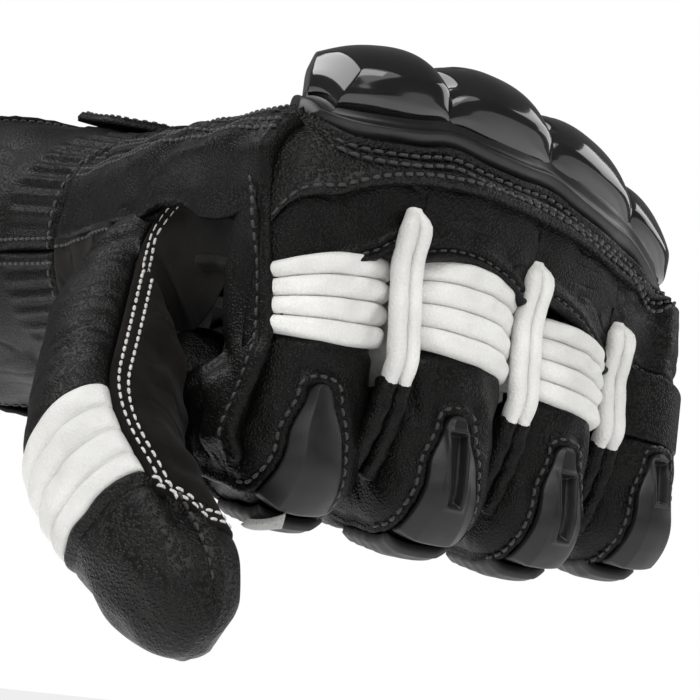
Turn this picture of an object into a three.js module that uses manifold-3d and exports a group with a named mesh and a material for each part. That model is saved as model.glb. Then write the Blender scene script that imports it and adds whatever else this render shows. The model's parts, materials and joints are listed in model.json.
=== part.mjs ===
// Motorcycle riding glove for the left hand, standing in the shape of a closed fist.
// Millimetres. +X runs from the index finger to the little finger, +Y from the knuckles to the cuff
// opening, +Z out of the back of the hand. The origin is the centre of the cuff opening.
import * as THREE from "three";
import { mergeVertices } from "three/addons/utils/BufferGeometryUtils.js";
import Module from "manifold-3d";

const wasm = await Module();
wasm.setup();

// ---------- driving dimensions ----------
const GLOVE_LENGTH = 150; // middle knuckle to cuff opening
const GAP = 0.4; // between neighbouring pieces
const LEATHER = 1.8; // shell leather with its lining
const FINGER_POWER = 2.4; // superellipse exponent of a finger's section

// Each finger stands in a slab of its own along X, so that the four can move past each other.
// x, y, z place the knuckle joint; half is half the slab's width; bones are the three bone lengths.
const FINGERS = {
  index: { x: -28.8, y: 1, z: -1, half: 12.6, bones: [46, 25, 19], ribs: [7.4, 31] },
  middle: { x: -2.6, y: 0, z: 0, half: 13.2, bones: [48, 28, 20], ribs: [7.4, 32] },
  ring: { x: 23.7, y: 4, z: -4, half: 12.4, bones: [45, 27, 20], ribs: [8.2, 31] },
  little: { x: 48.4, y: 11, z: -10, half: 12.0, bones: [36, 21, 17], ribs: [7.4, 26] },
};
const FLEX = [88, 102, 58].map(THREE.MathUtils.degToRad); // how far each finger joint is bent in the fist
const THUMB = {
  root: new THREE.Vector3(-16, 82, -8),
  knuckle: new THREE.Vector3(-41.3, 38.8, -25.1),
  bend: new THREE.Vector3(-57.5, 13, -51.1),
  tip: new THREE.Vector3(-51.5, -10.3, -73.9),
  radii: [18.2, 15, 13.2, 12.2],
  room: 5, // left open on each side of the thumb's knuckle
};
const INDEX_SIDE = -41.7; // X of the plane that the thumb flattens against, beside the index finger
const WRIST_Y = 88; // where the hand ends and the cuff begins
const STRAP = { from: 90, to: 107, sewn: 170, end: 22, lift: 2.6, thick: 1.8 };
const FLAP = { from: 112, to: 143, sewn: 150, end: -8, lift: 1.6, thick: 2.0 };

// ---------- materials ----------
const finish = (color, roughness, metalness = 0) =>
  new THREE.MeshStandardMaterial({ color, roughness, metalness });
const BLACK_LEATHER = finish(0x171615, 0.55);
const WHITE_LEATHER = finish(0xe9e9e4, 0.6);
const SUEDE = finish(0x1c1a18, 0.9);
const GLOSS_SHELL = finish(0x0c0c0d, 0.12);
const SOFT_FRAME = finish(0x1a1a1b, 0.45);
const MOULDED_RUBBER = finish(0x141414, 0.6);
const FOAM = finish(0x3a3a3a, 0.95);
const LINING = finish(0x202124, 0.95);
const HOOK_TAPE = finish(0x101010, 0.95);

// ---------- geometry helpers ----------
const radians = THREE.MathUtils.degToRad;

// Position on a superellipse with half-axes a and b; angle 0 is +Z (the back) and +90 degrees is +X.
function section(a, b, power, angle) {
  const s = Math.sin(angle);
  const c = Math.cos(angle);
  const bend = (v) => Math.sign(v) * Math.abs(v) ** (2 / power);
  return [a * bend(s), b * bend(c)];
}

// Closed solid between two skins, place(u, v, 1) outside and place(u, v, 0) inside, for u and v from 0 to 1.
// u x v turns to the outside. ring joins v = 1 to v = 0, and pole closes the skins at u = 1.
function slab(place, uSteps, vSteps, { ring = false, pole = false } = {}) {
  const position = [];
  const index = [];
  const across = ring ? vSteps : vSteps + 1;
  const along = pole ? uSteps : uSteps + 1;
  for (const side of [1, 0]) {
    for (let i = 0; i < along; i++) {
      for (let j = 0; j < across; j++) position.push(...place(i / uSteps, j / vSteps, side));
    }
  }
  const poles = [1, 0].map((side, k) => 2 * along * across + k);
  if (pole) for (const side of [1, 0]) position.push(...place(1, 0, side));
  const at = (side, i, j) => {
    if (pole && i === uSteps) return poles[side];
    return side * along * across + i * across + (ring ? j % vSteps : j);
  };
  const quad = (a, b, c, d) => {
    if (a !== b) index.push(a, b, c);
    if (c !== d) index.push(a, c, d);
  };
  for (let i = 0; i < uSteps; i++) {
    for (let j = 0; j < vSteps; j++) {
      quad(at(0, i, j), at(0, i + 1, j), at(0, i + 1, j + 1), at(0, i, j + 1));
      quad(at(1, i, j + 1), at(1, i + 1, j + 1), at(1, i + 1, j), at(1, i, j));
    }
  }
  for (let j = 0; j < vSteps; j++) {
    quad(at(0, 0, j + 1), at(1, 0, j + 1), at(1, 0, j), at(0, 0, j));
    if (!pole) quad(at(0, uSteps, j), at(1, uSteps, j), at(1, uSteps, j + 1), at(0, uSteps, j + 1));
  }
  if (!ring) {
    for (let i = 0; i < uSteps; i++) {
      quad(at(0, i, 0), at(1, i, 0), at(1, i + 1, 0), at(0, i + 1, 0));
      quad(at(0, i + 1, vSteps), at(1, i + 1, vSteps), at(1, i, vSteps), at(0, i, vSteps));
    }
  }
  const geometry = new THREE.BufferGeometry();
  geometry.setAttribute("position", new THREE.Float32BufferAttribute(position, 3));
  geometry.setIndex(index);
  return geometry;
}

// A geometry as a manifold-3d solid, and back.
function toSolid(geometry) {
  const plain = new THREE.BufferGeometry();
  plain.setAttribute("position", geometry.getAttribute("position").clone());
  plain.setIndex(geometry.index);
  const merged = mergeVertices(plain, 1e-3);
  const triVerts = new Uint32Array(merged.index.array);
  return new wasm.Manifold(
    new wasm.Mesh({ numProp: 3, vertProperties: merged.attributes.position.array, triVerts }),
  );
}

function toGeometry(solid) {
  const mesh = solid.getMesh();
  const geometry = new THREE.BufferGeometry();
  geometry.setAttribute("position", new THREE.BufferAttribute(mesh.vertProperties, mesh.numProp));
  geometry.setIndex(new THREE.BufferAttribute(mesh.triVerts, 1));
  return geometry;
}

// The largest single piece left when the tools are cut away from a geometry.
function cut(geometry, ...tools) {
  let solid = toSolid(geometry);
  for (const tool of tools) solid = solid.subtract(toSolid(tool));
  const pieces = solid.decompose().sort((p, q) => q.volume() - p.volume());
  return toGeometry(pieces[0]);
}

function add(parent, name, geometry, material) {
  const mesh = new THREE.Mesh(geometry, material);
  mesh.name = name;
  parent.add(mesh);
  return mesh;
}

const mix = THREE.MathUtils.lerp;
const constant = (value) => () => value;

// ---------- hand tube ----------
// Stations along Y: half-width, half-thickness, centre x, centre z, superellipse exponent.
const STATIONS = [0, 45, 88, 106, 150];
const SECTIONS = [
  [51, 17.5, 8.3, -2.5, 4],
  [46.5, 18.5, 8.5, -2, 3.2],
  [36, 24, 9, -3, 2.4],
  [36, 26, 9, -2, 2.4],
  [42, 32, 9, -1, 2.4],
];
const handSections = new THREE.CubicInterpolant(STATIONS, SECTIONS.flat(), 5, new Float32Array(5));
const archFade = (y) => THREE.MathUtils.clamp(1 - y / 72, 0, 1);
const archDepth = (x) => -0.0032 * (x + 10) ** 2; // the knuckle row falls away towards the little finger
const knuckleY = (x) => 0.0035 * (x + 14) ** 2; // and sweeps back

// Point of the hand tube at y and angle, lifted off the leather's outer face by lift.
function handPoint(y, angle, lift) {
  const [a, b, cx, cz, power] = handSections.evaluate(y);
  const [x, z] = section(a + lift, b + lift, power, angle);
  return [cx + x, y, cz + z + archDepth(cx + x) * archFade(y)];
}

// Height of the back of the hand above its arch, at x and y.
function backHeight(x, y) {
  const [a, b, cx, cz, power] = handSections.evaluate(y);
  const out = Math.min(1, Math.abs((x - cx) / a));
  return cz + b * (1 - out ** power) ** (1 / power);
}

// Panel of the hand tube between two stations and two angles in degrees.
function handPanel({ from, to, angles, lift = [-LEATHER, 0], steps = [5, 8], ring = false }) {
  const place = (u, v, side) => {
    const angle = radians(mix(angles[0], angles[1], v));
    const x = handPoint(0, angle, 0)[0];
    const start = typeof from === "function" ? from(x) : from;
    return handPoint(mix(start, to, u), angle, lift[side]);
  };
  return slab((u, v, side) => place(1 - u, v, side), ...steps, { ring });
}

// ---------- finger tubes ----------
// A bone lies along local -Y from its joint, with its back on +Z. sizes are the half-width and
// half-thickness at its two ends.
function bonePoint({ length, sizes }, s, angle, lift) {
  const t = THREE.MathUtils.clamp(s / length, 0, 1);
  const [x, z] = section(
    mix(sizes[0][0], sizes[1][0], t) + lift,
    mix(sizes[0][1], sizes[1][1], t) + lift,
    FINGER_POWER,
    angle,
  );
  return [x, -s, z];
}

// Panel of a bone's tube. start and end give s for a height above the bone's axis, and a bone with a
// frame of its own is placed by it.
function bonePanel(bone, { start, end, angles, lift = [-LEATHER, 0], steps = [3, 6], ring = false }) {
  const place = (u, v, side) => {
    const angle = radians(mix(angles[0], angles[1], v));
    const height = bonePoint(bone, 0, angle, 0)[2];
    const point = bonePoint(bone, mix(start(height), end(height), u), angle, lift[side]);
    return bone.put ? bone.put(point, lift[side]) : point;
  };
  return slab(place, ...steps, { ring });
}

// Where a tube stops at a joint bent by angle: square on the back, mitred on the palm side.
const mitre = (bend) => (height) => GAP + (height < 0 ? -height / Math.tan((Math.PI - bend) / 2) : 0);

// Point on the back of a bent joint. t is the length along the back from the joint's own station,
// before it straight along the incoming bone, then round the joint, then along the outgoing bone.
function bendPoint(radius, bend, x, t, lift) {
  const arc = radius * bend;
  if (t < 0) return [x, -t, radius + lift];
  const turn = Math.min(t, arc) / radius;
  const on = Math.max(t - arc, 0);
  const r = radius + lift;
  return [
    x,
    -r * Math.sin(turn) - on * Math.cos(turn),
    r * Math.cos(turn) - on * Math.sin(turn),
  ];
}

// ---------- one finger ----------
const ACCORDION_ANGLE = 56;
const WALL_ANGLES = [59, 121];
const WALL_START = 18.5; // the finger's walls clear the hand when the finger is stretched
const MIDDLE_START = 10.8; // the middle bone's leather begins this far past the joint, on the back

function tipGeometry(bone, start) {
  const place = (u, v, side) => {
    const angle = radians(360 * v);
    const inner = side ? 0 : LEATHER;
    const height = bonePoint(bone, 0, angle, 0)[2];
    const reach = bone.length - inner;
    const s = mix(start(height), reach, Math.sin((u * Math.PI) / 2));
    const dome = bone.length * 0.55;
    const past = Math.max(0, s - (reach - dome)) / dome;
    const close = Math.sqrt(Math.max(0, 1 - past * past));
    const [x, , z] = bonePoint(bone, Math.min(s, bone.length), angle, -inner);
    const point = [x * close, -s, z * close];
    return bone.put ? bone.put(point, -inner) : point;
  };
  return slab(place, 6, 12, { ring: true, pole: true });
}

// Hard slider on the back of the bent joint, from start before it to a turn round it, narrowing to both ends.
const SLIDER_TURN = radians(50);

function slider(bone, start) {
  const radius = bone.sizes[1][1];
  const halfWidth = bone.sizes[1][0] * 0.62;
  const place = (u, v, side) => {
    const across = mix(-1, 1, v);
    const x = halfWidth * (0.45 + 0.55 * Math.sin(Math.PI * mix(0.16, 0.9, u))) * across;
    const crown = side ? 3.2 - 1.9 * across * across : GAP;
    return bendPoint(radius, FLEX[1], x, mix(start, radius * SLIDER_TURN, u), crown);
  };
  return slab(place, 10, 6);
}

function finger(parent, name, { x, y, z, half, bones, ribs }) {
  const thick = 12.4 * Math.sqrt(half / 13);
  const side = half - 0.3;
  const proximal = { length: bones[0], sizes: [[side, thick], [side - 0.6, thick - 0.8]] };
  const middle = { length: bones[1], sizes: [[side - 1.1, thick - 1.3], [side - 1.9, thick - 2]] };
  const distal = { length: bones[2], sizes: [[side - 2.2, thick - 2.4], [side - 3, thick - 3.2]] };
  const white = name === "little" ? BLACK_LEATHER : WHITE_LEATHER;

  const knuckle = new THREE.Group();
  knuckle.position.set(x, y, z);
  knuckle.rotation.x = FLEX[0];
  parent.add(knuckle);

  const pipEnd = (height) => bones[0] - mitre(FLEX[1])(height);
  const front = [-ACCORDION_ANGLE, ACCORDION_ANGLE];
  const part = (suffix, geometry, material) => add(knuckle, `${name}_${suffix}`, geometry, material);
  part(
    "accordion",
    bonePanel(proximal, { start: constant(ribs[0]), end: constant(ribs[1]), angles: front, lift: [-2, 1.4] }),
    white,
  );
  part(
    "front_leather",
    bonePanel(proximal, { start: constant(ribs[1] + GAP), end: constant(bones[0] - GAP), angles: front }),
    BLACK_LEATHER,
  );
  const sliderShape = slider(proximal, ribs[1] + 0.8 - bones[0]);
  part("slider", sliderShape.translate(0, -bones[0], 0), MOULDED_RUBBER);
  const wall = (from, to) =>
    bonePanel(proximal, { start: constant(WALL_START), end: pipEnd, angles: [from, to], steps: [3, 4] });
  part("outer_wall", wall(WALL_ANGLES[0], WALL_ANGLES[1]), white);
  const innerWall = name === "index" ? BLACK_LEATHER : white; // the index finger's faces outward
  part("inner_wall", wall(-WALL_ANGLES[1], -WALL_ANGLES[0]), innerWall);
  part(
    "palm_leather",
    bonePanel(proximal, { start: constant(13), end: pipEnd, angles: [124, 236], steps: [2, 6] }),
    BLACK_LEATHER,
  );

  const arc = proximal.sizes[1][1] * FLEX[1];
  const cover = (u, v, side_) =>
    bendPoint(
      proximal.sizes[1][1],
      FLEX[1],
      mix(-1, 1, v) * proximal.sizes[1][0] * 0.8,
      mix(GAP, arc + MIDDLE_START - 1, u),
      (side_ ? 0 : -LEATHER) - 2.2 * mix(-1, 1, v) ** 2,
    );
  part("knuckle_leather", slab(cover, 8, 4).translate(0, -bones[0], 0), BLACK_LEATHER);

  const pip = new THREE.Group();
  pip.position.y = -bones[0];
  pip.rotation.x = FLEX[1];
  knuckle.add(pip);
  const middleStart = (height) => (height > 0 ? MIDDLE_START : Math.max(mitre(FLEX[1])(height), 4));
  const middleEnd = (height) => bones[1] - mitre(FLEX[2])(height);
  add(
    pip,
    `${name}_middle_leather`,
    bonePanel(middle, {
      start: middleStart, end: middleEnd, angles: [0, 360], steps: [2, 16], ring: true,
    }),
    BLACK_LEATHER,
  );

  const dip = new THREE.Group();
  dip.position.y = -bones[1];
  dip.rotation.x = FLEX[2];
  pip.add(dip);
  add(dip, `${name}_tip`, tipGeometry(distal, mitre(FLEX[2])), BLACK_LEATHER);
}

// ---------- thumb ----------
// Frame of a thumb bone: local -Y runs along the bone and local X is the hinge axis.
function boneFrame(from, to, hinge) {
  const y = new THREE.Vector3().subVectors(from, to).normalize();
  const z = new THREE.Vector3().crossVectors(hinge, y).normalize();
  const x = new THREE.Vector3().crossVectors(y, z);
  const frame = new THREE.Matrix4().makeBasis(x, y, z);
  return frame.setPosition(from);
}

function thumbBones() {
  const { root, knuckle, bend, tip, radii } = THUMB;
  const first = new THREE.Vector3().subVectors(bend, knuckle);
  const second = new THREE.Vector3().subVectors(tip, bend);
  const hinge = new THREE.Vector3().crossVectors(first, second).normalize();
  const bone = (from, to, r0, r1, extra, squeezed) => {
    const frame = boneFrame(from, to, hinge);
    const put = (point, lift) => {
      const placed = new THREE.Vector3(...point).applyMatrix4(frame);
      if (squeezed) placed.x = Math.min(placed.x, INDEX_SIDE + lift);
      return placed.toArray();
    };
    return { length: from.distanceTo(to) + extra, sizes: [[r0, r0 * 0.94], [r1, r1 * 0.94]], put };
  };
  return {
    base: bone(root, knuckle, radii[0], radii[1], 0, false),
    proximal: bone(knuckle, bend, radii[1] - 0.6, radii[2], 0, true),
    distal: bone(bend, tip, radii[2] - 0.6, radii[3], 9.5, true),
    bendAngle: first.angleTo(second),
  };
}

const AROUND = { angles: [0, 360], steps: [4, 18], ring: true };

// The outside of a thumb bone as one solid, for cutting its neighbours.
function boneSolid(bone) {
  return bonePanel(bone, { start: constant(0), end: constant(bone.length), lift: [-9, GAP], ...AROUND });
}

function thumb(parent, handSolid) {
  const { base, proximal, distal, bendAngle } = thumbBones();
  const tube = bonePanel(base, { start: constant(0), end: constant(base.length - THUMB.room), ...AROUND });
  add(parent, "thumb_base_leather", cut(tube, handSolid), BLACK_LEATHER);

  const seam = 78; // degrees round from the back, where the back leather meets the palm-side panel
  const end = (height) => proximal.length - mitre(bendAngle)(height);
  const panel = (from, to, stop) =>
    bonePanel(proximal, { start: constant(THUMB.room), end: stop, angles: [from, to], steps: [4, 8] });
  add(parent, "thumb_back_leather", panel(-seam, seam, constant(proximal.length - 9)), BLACK_LEATHER);
  add(parent, "thumb_palm_panel", panel(seam + 2, 358 - seam, end), SUEDE);

  const radius = proximal.sizes[1][1];
  const ribs = (u, v, side) => {
    const across = mix(-1, 1, v);
    const drop = radius * (1 - Math.sqrt(1 - 0.8 * across * across));
    const lift = side ? 1.2 : -1.6;
    const t = mix(-8.5, radius * bendAngle + 2.2, u);
    const [x, y, z] = bendPoint(radius, bendAngle, across * radius * 0.93, t, lift - drop);
    return proximal.put([x, y - proximal.length, z], lift);
  };
  add(parent, "thumb_accordion", slab(ribs, 6, 8), WHITE_LEATHER);

  const tipStart = (height) => (height > 0 ? 4 : mitre(bendAngle)(height));
  add(parent, "thumb_tip", tipGeometry(distal, tipStart), BLACK_LEATHER);
}

// Suede web between the thumb and the index finger's root, with a hollowed free edge.
function webGusset(parent, handSolid) {
  const { base, proximal } = thumbBones();
  const web = new THREE.Shape();
  web.moveTo(9, -10);
  web.lineTo(40, -10);
  web.lineTo(40, -34);
  web.lineTo(27, -30);
  web.quadraticCurveTo(20, -15, 9, -16);
  web.closePath();
  const sheet = new THREE.ExtrudeGeometry(web, { depth: 2, bevelEnabled: false, curveSegments: 8 });
  const upright = new THREE.Matrix4().makeBasis(
    new THREE.Vector3(0, 1, 0),
    new THREE.Vector3(0, 0, 1),
    new THREE.Vector3(1, 0, 0),
  );
  sheet.applyMatrix4(upright).translate(INDEX_SIDE - 2.3, 0, 0);
  add(parent, "web_gusset", cut(sheet, boneSolid(base), boneSolid(proximal), handSolid), SUEDE);
}

// ---------- knuckle guard ----------
const GUARD = { front: 14.5, rear: -34, left: -34.5, right: 54.5 };
const DOMES = [ // a little to the outer side of each knuckle
  { x: -24.5, half: 13 },
  { x: 2.5, half: 13.5 },
  { x: 27.5, half: 12 },
  { x: 46, half: 8.5 },
];

// Point over the knuckle row: x across, t along the back of the hand (below 0) and round the knuckles.
function knucklePoint(x, t, lift) {
  const y = knuckleY(x);
  if (t < 0) return [x, y - t, backHeight(x, y - t) + archDepth(x) * archFade(y - t) + lift];
  const radius = Math.max(3, backHeight(x, y));
  const [, py, pz] = bendPoint(radius, FLEX[0], x, t, lift);
  return [x, y + py, archDepth(x) * archFade(y) + pz];
}

// Height of the four domes over the guard's plate, each steeper at the knuckle's front.
function domeHeight(x, t) {
  const ridge = 2; // t of the domes' highest line
  let height = 0;
  for (const { x: cx, half } of DOMES) {
    const u = (x - cx) / (half - 0.4);
    const v = t > ridge ? (t - ridge) / 11.5 : (t - ridge) / 30;
    const inside = (Math.max(0, 1 - u * u) * Math.max(0, 1 - v * v)) ** 0.55;
    height = Math.max(height, inside * 5.4 * Math.sqrt(half / 13));
  }
  return height;
}

// Rear and front t of the guard's rounded outline at x.
function guardOutline(x) {
  const across = (2 * x - GUARD.left - GUARD.right) / (GUARD.right - GUARD.left);
  const ends = Math.sqrt(Math.max(0, 1 - Math.abs(across) ** 6));
  return [mix(-10, GUARD.rear, ends), mix(3, GUARD.front, ends)];
}

// How far the guard has risen from its rim towards the plateau under the domes, 0 to 1.
function guardRise(x, t) {
  const [rear, front] = guardOutline(x);
  const margin = Math.min(x - GUARD.left, GUARD.right - x, t - rear, front - t);
  return THREE.MathUtils.clamp((margin - 2.5) / 4, 0, 1);
}

function guardPlate(inset, heights, steps) {
  const place = (u, v, side) => {
    const x = mix(GUARD.left + inset, GUARD.right - inset, v);
    const [rear, front] = guardOutline(x);
    const t = mix(rear + inset, front - inset, u);
    return knucklePoint(x, t, heights(x, t)[side]);
  };
  return slab(place, ...steps);
}

function knuckleGuard(parent) {
  add(parent, "knuckle_frame", guardPlate(0, () => [0.9, 2.4], [10, 20]), SOFT_FRAME);
  const hollow = (x, t) => 2.8 + 1.2 * guardRise(x, t) + domeHeight(x, t); // the shell's inner face
  const shell = guardPlate(2.5, (x, t) => [hollow(x, t), hollow(x, t) + 1.8], [12, 32]);
  add(parent, "knuckle_shell", shell, GLOSS_SHELL);
  const padding = guardPlate(6, (x, t) => [2.7, hollow(x, t) - 0.5], [8, 24]);
  add(parent, "knuckle_padding", cut(padding, shell, shell.clone().translate(0, 0, -0.3)), FOAM);
  const band = (u, v, side) => {
    const x = mix(GUARD.left + 1.5, GUARD.right - 1.5, v);
    const arc = FLEX[0] * Math.max(3, backHeight(x, knuckleY(x)));
    return knucklePoint(x, mix(1, arc + 6, u), side ? 0 : -LEATHER);
  };
  add(parent, "knuckle_band", slab(band, 7, 16), BLACK_LEATHER);
}

// ---------- hand, palm and cuff ----------
function hand(parent) {
  const thumbRoot = boneSolid(thumbBones().base);
  const panel = (name, material, options, ...tools) => {
    const geometry = handPanel(options);
    add(parent, name, tools.length ? cut(geometry, ...tools) : geometry, material);
  };
  const past = (distance) => (x) => knuckleY(x) + distance;
  panel("back_leather", BLACK_LEATHER, { from: past(GAP), to: WRIST_Y, angles: [-58, 62], steps: [6, 12] });
  panel(
    "inner_side_leather", BLACK_LEATHER,
    { from: past(-9.5), to: WRIST_Y, angles: [-104, -60], steps: [7, 5] },
    thumbRoot,
  );
  panel("outer_side_leather", BLACK_LEATHER, { from: past(-9), to: WRIST_Y, angles: [64, 104], steps: [6, 5] });
  panel(
    "palm_leather", SUEDE,
    { from: past(17), to: WRIST_Y, angles: [106, 254], steps: [6, 14] },
    thumbRoot,
  );
  panel(
    "palm_patch", SUEDE,
    { from: past(44), to: 80, angles: [130, 200], lift: [0.6, 1.9], steps: [4, 8] },
    thumbRoot,
  );

  const cuff = { from: WRIST_Y + GAP, to: GLOVE_LENGTH - 3 - GAP, steps: [5, 12] };
  panel("cuff_back", BLACK_LEATHER, { ...cuff, angles: [-95, 95] });
  panel("cuff_palm", BLACK_LEATHER, { ...cuff, angles: [97, 263] });
  const ring = { angles: [0, 360], ring: true };
  panel("cuff_lining", LINING, { from: 66, to: GLOVE_LENGTH - 3, lift: [-3.8, -2.8], steps: [5, 24], ...ring });
  panel(
    "cuff_binding", BLACK_LEATHER,
    { from: GLOVE_LENGTH - 3 + GAP / 2, to: GLOVE_LENGTH, lift: [-3.8, 1], steps: [2, 32], ...ring },
  );
}

// Strap, flap and the hook tape that each closes on.
function closures(parent) {
  const wrap = ({ from, to, sewn, end, lift, thick }) =>
    handPanel({ from, to, angles: [end, sewn], lift: [lift, lift + thick], steps: [2, 14] });
  add(parent, "wrist_strap", wrap(STRAP), BLACK_LEATHER);
  add(parent, "cuff_flap", wrap(FLAP), BLACK_LEATHER);
  const tape = ({ from, to, end, lift }, name) => {
    const panel = handPanel({
      from: from + 2, to: to - 2, angles: [end + 6, end + 50], lift: [0.3, Math.min(lift - 0.4, 1.3)],
      steps: [1, 5],
    });
    add(parent, name, panel, HOOK_TAPE);
  };
  tape(STRAP, "wrist_hook_tape");
  tape(FLAP, "cuff_hook_tape");
}

// ---------- assembly ----------
const glove = new THREE.Group();
const handGroup = new THREE.Group();
handGroup.position.set(-9, -GLOVE_LENGTH, 1);
glove.add(handGroup);

const handSolid = handPanel({
  from: 0, to: GLOVE_LENGTH, angles: [0, 360], lift: [-14, 0.4], steps: [8, 30], ring: true,
});
hand(handGroup);
knuckleGuard(handGroup);
closures(handGroup);
webGusset(handGroup, handSolid);
thumb(handGroup, handSolid);
for (const [name, dimensions] of Object.entries(FINGERS)) finger(handGroup, name, dimensions);

export default glove;
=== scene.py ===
import json
import math
from math import pi, radians, tau
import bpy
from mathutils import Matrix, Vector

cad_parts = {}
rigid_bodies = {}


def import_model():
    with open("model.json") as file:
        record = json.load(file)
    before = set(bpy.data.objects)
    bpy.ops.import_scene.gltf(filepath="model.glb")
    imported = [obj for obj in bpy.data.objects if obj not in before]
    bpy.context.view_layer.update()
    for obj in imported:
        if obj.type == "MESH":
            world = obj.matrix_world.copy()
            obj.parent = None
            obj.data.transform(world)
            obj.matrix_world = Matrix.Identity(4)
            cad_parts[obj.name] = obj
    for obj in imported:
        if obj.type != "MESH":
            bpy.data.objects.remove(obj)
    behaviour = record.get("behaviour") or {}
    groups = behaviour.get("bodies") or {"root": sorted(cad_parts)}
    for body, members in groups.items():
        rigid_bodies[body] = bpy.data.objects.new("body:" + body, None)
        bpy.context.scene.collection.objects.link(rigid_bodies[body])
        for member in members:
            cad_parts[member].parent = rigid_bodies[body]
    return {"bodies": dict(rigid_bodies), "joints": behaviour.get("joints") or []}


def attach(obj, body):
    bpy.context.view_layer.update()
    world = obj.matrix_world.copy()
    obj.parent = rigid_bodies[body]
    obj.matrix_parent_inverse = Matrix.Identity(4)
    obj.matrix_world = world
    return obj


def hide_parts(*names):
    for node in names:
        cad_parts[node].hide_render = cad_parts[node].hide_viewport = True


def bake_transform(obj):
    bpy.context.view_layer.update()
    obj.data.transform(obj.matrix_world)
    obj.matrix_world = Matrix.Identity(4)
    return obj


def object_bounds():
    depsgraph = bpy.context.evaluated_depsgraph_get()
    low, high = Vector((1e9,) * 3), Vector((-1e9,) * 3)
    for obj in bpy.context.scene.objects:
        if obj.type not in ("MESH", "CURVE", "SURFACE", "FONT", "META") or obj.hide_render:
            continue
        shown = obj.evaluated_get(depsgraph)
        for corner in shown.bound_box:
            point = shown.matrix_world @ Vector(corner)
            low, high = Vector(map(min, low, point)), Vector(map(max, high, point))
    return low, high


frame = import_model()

from types import SimpleNamespace

import bmesh
import bpy
import numpy as np
from mathutils import Matrix, Vector

CAD_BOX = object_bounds()
MM = 0.001
KNUCKLE = next(j["pos_m"] for j in frame["joints"] if j["name"] == "middle_knuckle")
# The glove is drawn in millimetres from the hand's own origin, 2.6 mm beside the middle knuckle.
ORIGIN = np.array(KNUCKLE) + np.array([2.6 * MM, 0, 0])

# ---------- dimensions in millimetres: bones and hand section are the CAD's ----------
FLEX = [radians(a) for a in (88, 102, 58)]
FINGERS = {
    "index": dict(x=-28.8, y=1, z=-1, half=12.6, bones=(46, 25, 19)),
    "middle": dict(x=-2.6, y=0, z=0, half=13.2, bones=(48, 28, 20)),
    "ring": dict(x=23.7, y=4, z=-4, half=12.4, bones=(45, 27, 20)),
    "little": dict(x=51.8, y=11, z=-10, half=12.6, bones=(36, 21, 17)),
}
STATIONS = np.array([0, 20, 45, 66, 88, 106, 128, 150.0])  # y of the hand's sections
SECTIONS = np.array([  # half-width, half-thickness, centre x, centre z, exponent
    [53, 17.5, 10.3, -2.5, 4], [51.2, 17.8, 10.2, -2.3, 3.6], [47.6, 18.5, 9.6, -2, 3.2],
    [41.1, 21, 8.8, -2.5, 2.8], [36, 24, 9, -3, 2.4], [36, 26, 9, -2, 2.4],
    [38.6, 28.9, 9, -1.4, 2.4], [42, 32, 9, -1, 2.4],
])
FINGER_POWER = 2.4
KNUCKLE_ARC = 23.0  # length of the back of the hand round the knuckles
THUMB = [np.array(p, float) for p in (
    (-10.1, 80.9, -11), (-37, 40, -26), (-56.5, 13, -51.1), (-51.5, -10.3, -73.9))]
THUMB_RADII = (  # distance along the thumb, radius
    (0, 9), (12, 11), (28, 12.8), (44, 14), (56, 14.2), (78, 13.2), (95, 12), (134, 10.9))
THUMB_EXTRA = 8.6  # the tip's length past the last bone
THUMB_FLAT = 0.94  # the thumb's thickness for its width
INDEX_SIDE = -41.7  # x of the index finger's side
GUARD_LEFT, GUARD_RIGHT, GUARD_REAR = -36.2, 59.8, -34
DOMES = ((-23.8, 11.4, 5.6), (-0.3, 12.2, 5.4), (24.8, 12.8, 4.9), (48.6, 11.2, 4.4))  # centre, half-width, height
WRIST_Y, CUFF_Y = 88, 147  # the hand's leather ends and the cuff ends here


def world(p):
    return np.asarray(p, float) * MM + ORIGIN


def unit(v):
    return v / np.linalg.norm(v, axis=-1, keepdims=True)


def grids(*values):
    """The values as arrays of one shape."""
    return np.broadcast_arrays(*(np.asarray(q, float) for q in values))


def smooth(a, b, x):
    t = np.clip((np.asarray(x, float) - a) / (b - a), 0, 1)
    return t * t * (3 - 2 * t)


def bell(x, centre, width, power=2):
    return np.exp(-(((x - centre) / width) ** power))


def signed_power(v, p):
    return np.sign(v) * np.abs(v) ** p


def angle_at(share):
    """Angle round a finger's section at a share of its half-width."""
    return np.arcsin(signed_power(share, FINGER_POWER / 2))


def section(a, b, power, angle):
    return a * signed_power(np.sin(angle), 2 / power), b * signed_power(np.cos(angle), 2 / power)


def station(y):
    """Half-width, half-thickness, centre x, centre z and exponent of the hand's section at y."""
    y = np.clip(np.asarray(y, float), 0, 150)
    slopes = np.gradient(SECTIONS, STATIONS, axis=0)
    k = np.clip(np.searchsorted(STATIONS, y, side="right") - 1, 0, len(STATIONS) - 2)
    h = STATIONS[k + 1] - STATIONS[k]
    t = ((y - STATIONS[k]) / h)[..., None]
    h = h[..., None]
    first = (2 * t**3 - 3 * t**2 + 1) * SECTIONS[k] + (t**3 - 2 * t**2 + t) * h * slopes[k]
    second = (3 * t**2 - 2 * t**3) * SECTIONS[k + 1] + (t**3 - t**2) * h * slopes[k + 1]
    return np.moveaxis(first + second, -1, 0)


def arch(x, y):
    return -0.0032 * (x + 10) ** 2 * np.clip(1 - y / 72, 0, 1)


def knuckle_y(x):
    return 0.0035 * (x + 14) ** 2


def hand_point(y, angle, lift=0.0):
    y, angle = grids(y, angle)
    a, b, cx, cz, power = station(y)
    x, z = section(a + lift, b + lift, power, angle)
    return np.stack([cx + x, y, cz + z + arch(cx + x, y)], -1)


def back_height(x, y):
    a, b, cx, cz, power = station(y)
    out = np.minimum(1, np.abs((x - cx) / a))
    return cz + b * (1 - out**power) ** (1 / power)


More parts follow.
